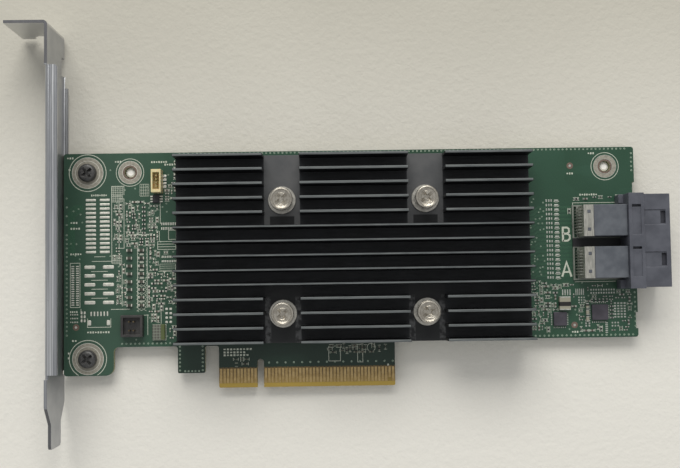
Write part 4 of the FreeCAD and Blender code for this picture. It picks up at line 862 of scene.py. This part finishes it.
def turned(name, profile, places, finish, slot, stands_for, closed=False, recess=None, sharp=32):
    """Like turned parts from one profile of radii and heights, at several places.

    The profile runs from the top of the axis outwards and down; a ring's profile is closed.
    A recess is the head's height, and the span, arm width and depth of the tapered cross in it.
    """
    points, faces, crosses, sides = [], [], [], []
    for x, y in places:
        rings = [circle(x, y, radius, z, 64) for radius, z in reversed(profile)]
        loft(points, faces, rings, closed)
        if recess:
            top, span, width, depth = recess
            loft(crosses, sides, [cross(x, y, top - depth, span * 0.18, width * 0.35),
                                  cross(x, y, top + 0.2, span * 0.54, width * 0.54)])
    piece = build(name, points, faces, finish, slot, stands_for)
    if recess:
        cut = piece.modifiers.new("recess", "BOOLEAN")
        cutter = build("cutter", crosses, sides, finish)
        cut.object = cutter
        cut.solver = "EXACT"
        bpy.context.view_layer.update()
        shaped = piece.evaluated_get(bpy.context.evaluated_depsgraph_get())
        piece.data = bpy.data.meshes.new_from_object(shaped)
        piece.modifiers.clear()
        bpy.data.objects.remove(cutter)
    piece.data.shade_smooth()
    piece.data.set_sharp_from_angle(angle=math.radians(sharp))


def corner_places(name, radius):
    """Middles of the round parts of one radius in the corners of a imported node's box."""
    low, high = box(name)
    xs = {round(low.x + radius, 3), round(high.x - radius, 3)}
    ys = {round(low.y + radius, 3), round(high.y - radius, 3)}
    return [(x, y) for x in sorted(xs) for y in sorted(ys)]


black = grained("black_zinc", (68, 68, 69), (98, 97, 95), 0.25, 4, (0.34, 0.5), 0.4, 0.06,
                metallic=0.55)
# Edge wear and painted highlight: the heads' edges and recess rims are painted pale.
black.over((150, 148, 144), worn_and_highlit(black, 0.14, 0.9, 0.4))

low, high = box("bracket_screws")
screw = [(0.02, high.z), (1.45, high.z),
         *bow(1.62, high.z - 1.02, 1.02, 1.02, range(82, 9, -12)), (2.68, 0.62), (2.66, 0.08),
         (2.58, 0), (1.46, 0), (1.46, -1.6)]
z = -1.6
while z - 0.5 > low.z + 0.3:
    screw += [(1.46, z - 0.1), (1.3, z - 0.25), (1.46, z - 0.4)]
    z -= 0.5
screw += [(1.3, low.z + 0.12), (1.12, low.z), (0.02, low.z)]
turned("pan_head_screws", screw, corner_places("bracket_screws", 2.7), black, "black_screw",
       "bracket_screws", recess=(high.z, 3.9, 0.85, 1.2))


# -------- controller
# The processor that the heat sink cools: a laminate carrier, a nickel-plated copper lid and a
# soft grey thermal pad between the lid and the sink.

dress("controller_substrate", grained("carrier_laminate", (58, 92, 56), (76, 112, 70), 0.4, 3,
                                      0.45, 0.1, 0.02, specular=0.4))
dress("controller_lid", grained("nickel_lid", (170, 168, 162), (194, 191, 184), 0.3, 4,
                                (0.3, 0.45), 0.12, 0.02, metallic=1, X=6))
dress("thermal_pad", grained("thermal_pad_silicone", (150, 152, 156), (176, 178, 182), 0.2, 4,
                             0.85, 0.3, 0.05, specular=0.3))


# -------- heat sink
# A black anodised aluminium extrusion with fourteen fins, sawn to length. Four pockets are milled
# through the fins for the screws. The fin tips are painted paler as a painted highlight; the
# milled floors are paler for their finish and as painted light, with painted shadow below the
# screws.

low, high = box("heatsink")
sink = Finish("black_anodising", metallic=0.25, specular=0.4)
point, x, y, z = sink.place()
drawn, cloud = sink.grain(0.16, X=30), sink.grain(7, 4)
FIN_TIP = high.z - 0.25
TOP_POCKET, LOW_POCKET, POCKET_HALF = 46.67, 29.36, 5.175
above = sink.ramp(y, TOP_POCKET, TOP_POCKET + 0.1)
below = sink.ramp(y, LOW_POCKET, LOW_POCKET - 0.1)
from_pocket = sink.away(sink.away(x, (low.x + high.x) / 2 + 0.25), 20.7)
# Pocket floors that look up: paler partly for their milled finish and partly as painted light.
milled_lit_floor = sink.times(sink.facing("Z", 0.3, 0.85), sink.ramp(z, 5.4, 5),
                    sink.ramp(from_pocket, POCKET_HALF + 0.1, POCKET_HALF - 0.1),
                    sink.maths("ADD", above, below))
mill_marks = sink.waves(point, "Y", 1.3, 0.8)
pocket = sink.tones(cloud, (84, 85, 86), (98, 98, 98))
pocket = sink.mix(sink.ramp(mill_marks, 0.2, 0.8, 0.25), pocket, (70, 72, 74))
# Painted shadow: dark patches on the pocket floors below the screws and springs, broken by noise.
INNER_END, SIDE_STRIP = TOP_POCKET + 2.9, POCKET_HALF - 1.8
pocket_shadow = sink.times(above, sink.ramp(y, INNER_END, INNER_END - 0.4))
pocket_shadow = sink.times(sink.maths("ADD", pocket_shadow, below),
                  sink.ramp(from_pocket, SIDE_STRIP + 0.3, SIDE_STRIP))
patchy_shadow = sink.ramp(sink.grain(1.6, 4), 0.62, 0.38, 1, 0.15)
inner = sink.ramp(y, LOW_POCKET - 4.2, LOW_POCKET - 2.8)
for shadow_part in (patchy_shadow, inner):
    pocket_shadow = sink.maths("MAXIMUM", pocket_shadow, sink.times(below, shadow_part))
relief = sink.maths("ADD", drawn, sink.times(sink.grain(0.1, 2), 0.5))
sink.look(sink.tones(cloud, (20, 22, 24), (30, 32, 35)), (drawn, 0.4, 0.55), relief, 0.25, 0.04)
sink.over(sink.mix(pocket_shadow, pocket, (32, 33, 34)), milled_lit_floor)
# Painted highlight: the fin tips are painted paler where they catch the lamp.
sink.over(sink.tones(drawn, (84, 88, 89), (114, 118, 117)), sink.facing("Z", 0.86, 0.97),
          sink.ramp(z, FIN_TIP, FIN_TIP + 0.15))
# Edge wear and painted highlight along the sink's edges.
sink.over((120, 122, 124), worn_and_highlit(sink, 0.12, 0.2, 0.8))
dress("heatsink", sink, 0.12, 1)


# -------- heat sink screws
# Four shoulder screws, turned from bar and nickel-plated, each over a flat washer and a
# compression spring. A round nut holds it on the solder side. Turning rings show on the heads.

HEAD_RADIUS, HEAD_UNDER, SHOULDER = 3.25, 8.85, 1.8
SINK_SCREWS = corner_places("heatsink_screws", HEAD_RADIUS)
(left, lower), (right, upper) = SINK_SCREWS[0], SINK_SCREWS[-1]
nickel = Finish("warm_nickel", metallic=1)
point, x, y, z = nickel.place()
off_x = nickel.away(nickel.away(x, (left + right) / 2), (right - left) / 2)
off_y = nickel.away(nickel.away(y, (lower + upper) / 2), (upper - lower) / 2)
radius = nickel.maths("SQRT", nickel.maths("ADD", nickel.times(off_x, off_x),
                                           nickel.times(off_y, off_y)))
rings = nickel.maths("SINE", nickel.times(radius, 60))
fine = nickel.grain(0.15)
nickel.look(nickel.tones(nickel.grain(1.2, 4), (160, 153, 141), (190, 184, 172)),
            (fine, 0.22, 0.34), nickel.maths("ADD", nickel.times(rings, 0.5), fine), 0.22, 0.03)
nickel.over((222, 218, 208), nickel.ramp(rings, -0.6, 0.9, 0.25))

low, high = box("heatsink_screws")
top = high.z
screw = [(0.02, top - 0.42), (1.5, top - 0.42), (1.62, top - 0.34), (1.74, top - 0.42),
         (2.38, top - 0.40), (2.5, top - 0.34), (2.56, top - 0.10),
         *bow(2.72, top - 0.12, 0.12, 0.12, range(140, 79, -20)),
         *bow(2.93, top - 0.32, 0.32, 0.32, range(75, -1, -15)),
         (HEAD_RADIUS, top - 1.15), (3.08, top - 1.25), (3.08, HEAD_UNDER + 0.42),
         (HEAD_RADIUS, HEAD_UNDER + 0.32), (HEAD_RADIUS, HEAD_UNDER + 0.08),
         (HEAD_RADIUS - 0.1, HEAD_UNDER), (SHOULDER, HEAD_UNDER), (SHOULDER, 0), (1.25, 0),
         (1.25, low.z + 0.15), (1.1, low.z), (0.02, low.z)]
turned("shoulder_screws", screw, SINK_SCREWS, nickel, "nickel_bright", "heatsink_screws",
       recess=(top - 0.42, 4.3, 0.85, 1), sharp=28)

plain_nickel = grained("plain_nickel", (184, 181, 172), (214, 210, 200), 1, 4, (0.28, 0.42),
                       0.12, 0.03, metallic=0.75)
low, high = box("heatsink_washers")
washer = [(2.05, high.z), (3.9, high.z), (4, high.z - 0.1), (4, low.z), (2.05, low.z)]
turned("flat_washers", washer, corner_places("heatsink_washers", 4), plain_nickel,
       "nickel_bright", "heatsink_washers", closed=True)
low, high = box("heatsink_nuts")
nut = [(1.3, high.z), (3.2, high.z), (3.2, low.z + 0.25), (2.95, low.z), (1.55, low.z),
       (1.3, low.z + 0.2)]
turned("back_nuts", nut, corner_places("heatsink_nuts", 3.2), plain_nickel, "nickel_bright",
       "heatsink_nuts", closed=True)

low, high = box("heatsink_springs")
WIRE, COIL, TURNS, TURN_STEPS = 0.30, 2.55, 3.5, 40
last = int(TURNS * TURN_STEPS)
points, faces = [], []
for x, y in SINK_SCREWS:
    rings = []
    for i in range(last + 1):
        turn = 2 * math.pi * i / TURN_STEPS
        z = low.z + WIRE + (high.z - low.z - 2 * WIRE) * i / last
        rings.append([(x + out * math.cos(turn), y + out * math.sin(turn), height)
                      for out, height, flat in reversed(circle(COIL, z, WIRE, 0, 12))])
    loft(points, faces, rings)
spring_wire = grained("drawn_spring_wire", (128, 130, 132), (176, 176, 176), 0.3, 4, 0.3,
                      0.15, 0.02, metallic=1)
springs = build("screw_springs", points, faces, spring_wire, "spring_steel", "heatsink_springs")
springs.data.shade_smooth()
springs.data.set_sharp_from_angle(angle=math.radians(60))


# -------- twin cable socket
# One glass-filled moulding with two ports, latch windows in its roof and a flange that the two
# contact modules fit into from behind. The mould's fine spark grain is on every outer face.

def moulded(name, dark, pale, rough, size=0.12, wear_and_highlight=0, strength=0.25, metallic=0):
    """A moulded plastic: fine spark-eroded grain, a slow change of tone, rubbed and highlit outer
    edges.
    """
    made = Finish(name, metallic, specular=0.45)
    grain = made.grain(size)
    made.look(made.tones(made.grain(4), dark, pale), (grain, rough - 0.07, rough + 0.09), grain,
              strength, 0.03)
    made.over(pale, made.ramp(grain, 0.45, 0.8, 0.22))
    # Outer edges painted paler: partly rubbed wear, partly a painted highlight along them.
    if wear_and_highlight:
        lighter = [min(1, value * 2.2 + 0.02) for value in linear(*pale)]
        made.over(lighter, worn_and_highlit(made, 0.14, wear_and_highlight, 1.2))
    return made


dress("socket_housing", moulded("socket_moulding", (72, 74, 82), (88, 90, 98), 0.46, wear_and_highlight=0.5),
      0.12)
# Painted shade: a shelf under each latch window, coloured darker than the housing, stands in for
# shade inside the port.
shade_shelves = Printed()
PORT_ROOF, WINDOW_X, WINDOW_LONG, WINDOW_WIDE = 8.22, 115.7, 1.42, 3.62
for window_y in (35.375, 47.425):
    shade_shelves.block(WINDOW_X - BOARD_LEFT, window_y, WINDOW_LONG, WINDOW_WIDE, PORT_ROOF,
                  PORT_ROOF + 0.25, 0.04)
shade_shelves.made("latch_window_shade_shelves",
             moulded("latch_shelf_painted_shade", (42, 43, 50), (54, 55, 63), 0.5), "connector_black")


# -------- contact modules
# Behind each port, a grey moulding holds two rows of gold-plated blades. A tinned strip clip
# hooks over its tail end, and the tails go down through the pin tray to the board.

module = moulded("module_moulding", (79, 83, 90), (99, 103, 109), 0.44, wear_and_highlight=0.3)
point, x, y, z = module.place()
REAR = box("contact_module_a")[0].x
# Painted light: the modules' rear faces are painted pale, lifting the shade between the contact
# tails.
module.over((150, 152, 140), module.facing("X", 0.7, 0.9),
            module.ramp(x, REAR + 0.5, REAR + 0.3))
clip = grained("clip_strip", (158, 157, 149), (190, 188, 179), 0.2, 4, (0.34, 0.5), 0.15, 0.03,
               metallic=0.75, Y=10)
tail = grained("aged_tin", (138, 141, 132), (168, 170, 161), 0.5, 4, 0.42, 0.15, 0.02,
               metallic=0.6)
for letter in "ab":
    dress("contact_module_" + letter, module, 0.12)
    dress("module_clip_" + letter, clip)
    dress("contact_tails_" + letter, tail)
tray = moulded("tray_moulding", (112, 116, 107), (132, 136, 127), 0.5)
point, x, y, z = tray.place()
BETWEEN_MODULES = 40.8
# Painted shade: the tray is painted dark in the gap between the two modules.
tray.over((30, 31, 33), tray.ramp(tray.away(y, BETWEEN_MODULES), 1.5, 1.1))
dress("pin_tray", tray)


# -------- cable header and service header
# A cream nylon shell with four pins for a small cable, its leads soldered on the right, and a
# black two-by-two pin header beside it at the board's lower edge.

cream = Finish("cream_nylon", specular=0.4)
grain = cream.grain(0.15)
cream.put(cream.shader["Subsurface Weight"], 0.1)
cream.put(cream.shader["Subsurface Scale"], 0.0006)
cream.look(cream.tones(cream.grain(1.5), (222, 204, 152), (236, 221, 176)), (grain, 0.36, 0.5),
           grain, 0.15, 0.03)
dress("cable_header", cream, 0.10)
lead = Finish("header_leads", metallic=0.6)
point, x, y, z = lead.place()
wash = lead.grain(0.6)
lead.look(lead.tones(wash, (168, 152, 104), (194, 178, 128)), 0.42, wash, 0.15, 0.02)
SHELL_END = box("cable_header")[1].x
lead.over(lead.tones(wash, (212, 212, 206), (236, 236, 230)),
          lead.ramp(x, SHELL_END - 0.2, SHELL_END))
dress("cable_header_pins", lead)
fillets = Printed()
for y in (62.08, 60.98, 59.92, 58.98):
    fillets.pillow(29.62, y, 1, 0.66, 0.16)
fillets.made("header_fillets", tin, "tinned")
dress("service_header", moulded("black_nylon", (44, 43, 43), (64, 62, 60), 0.42, wear_and_highlight=0.5), 0.12)
# Painted reflection: the posts' dull brown colour stands in for what they reflect.
dress("service_header_pins", moulded("posts_painted_reflection", (92, 80, 60), (122, 108, 84), 0.4, 0.2,
                                     metallic=0.8))


# -------- chips
# Small integrated circuits in moulded black epoxy with tinned leads, two power regulators with
# exposed pads, and a metal-lidded oscillator. Their marks are left off.

dress("leaded_chips", moulded("chip_epoxy", (42, 42, 45), (54, 53, 56), 0.52, 0.08, 0.35, 0.35),
      0.06, 1, 40)
dress("chip_leads", tin)
dress("regulator_chips", moulded("regulator_epoxy", (56, 53, 60), (74, 70, 78), 0.5, 0.08, 0.5,
                                 0.35), 0.06, 1, 40)
lid = moulded("oscillator_lid", (84, 84, 76), (112, 110, 100), 0.45, 0.2, wear_and_highlight=0.4)
point, x, y, z = lid.place()
waves = [lid.maths("SINE", lid.times(along, 7.5)) for along in (x, y)]
OLIVE_FROM = box("oscillator")[1].x - 1.3
lid.over((86, 96, 56), lid.ramp(x, OLIVE_FROM, OLIVE_FROM + 0.3))
lid.over((130, 136, 122), lid.ramp(lid.maths("MAXIMUM", *waves), 0.72, 0.9),
         lid.ramp(x, OLIVE_FROM + 0.3, OLIVE_FROM))
dress("oscillator", lid, 0.08, 2, 40)


# -------- capacitors and resistors
# Fired ceramic capacitors, tan, and film resistors with a dark glaze, each between two tinned
# end caps that are soldered to the board.

ceramic = moulded("fired_ceramic", (56, 56, 48), (78, 76, 66), 0.5, 0.1)
point, x, y, z = ceramic.place()
BULK_PARTS_FROM, BULK_MIDDLE = 80, 22.9
band = ceramic.mix(ceramic.ramp(ceramic.away(y, BULK_MIDDLE), 0.55, 0.7), (30, 28, 27),
                   (150, 147, 130))
ceramic.over(band, ceramic.ramp(x, BULK_PARTS_FROM, BULK_PARTS_FROM + 1))
glaze = moulded("resistor_glaze", (30, 30, 33), (46, 46, 48), 0.34, 0.1)
for name, finish in (("capacitor_bodies", ceramic), ("capacitor_terminals", tin),
                     ("resistor_bodies", glaze), ("resistor_terminals", tin)):
    dress(name, finish, 0.06, 1, 40)
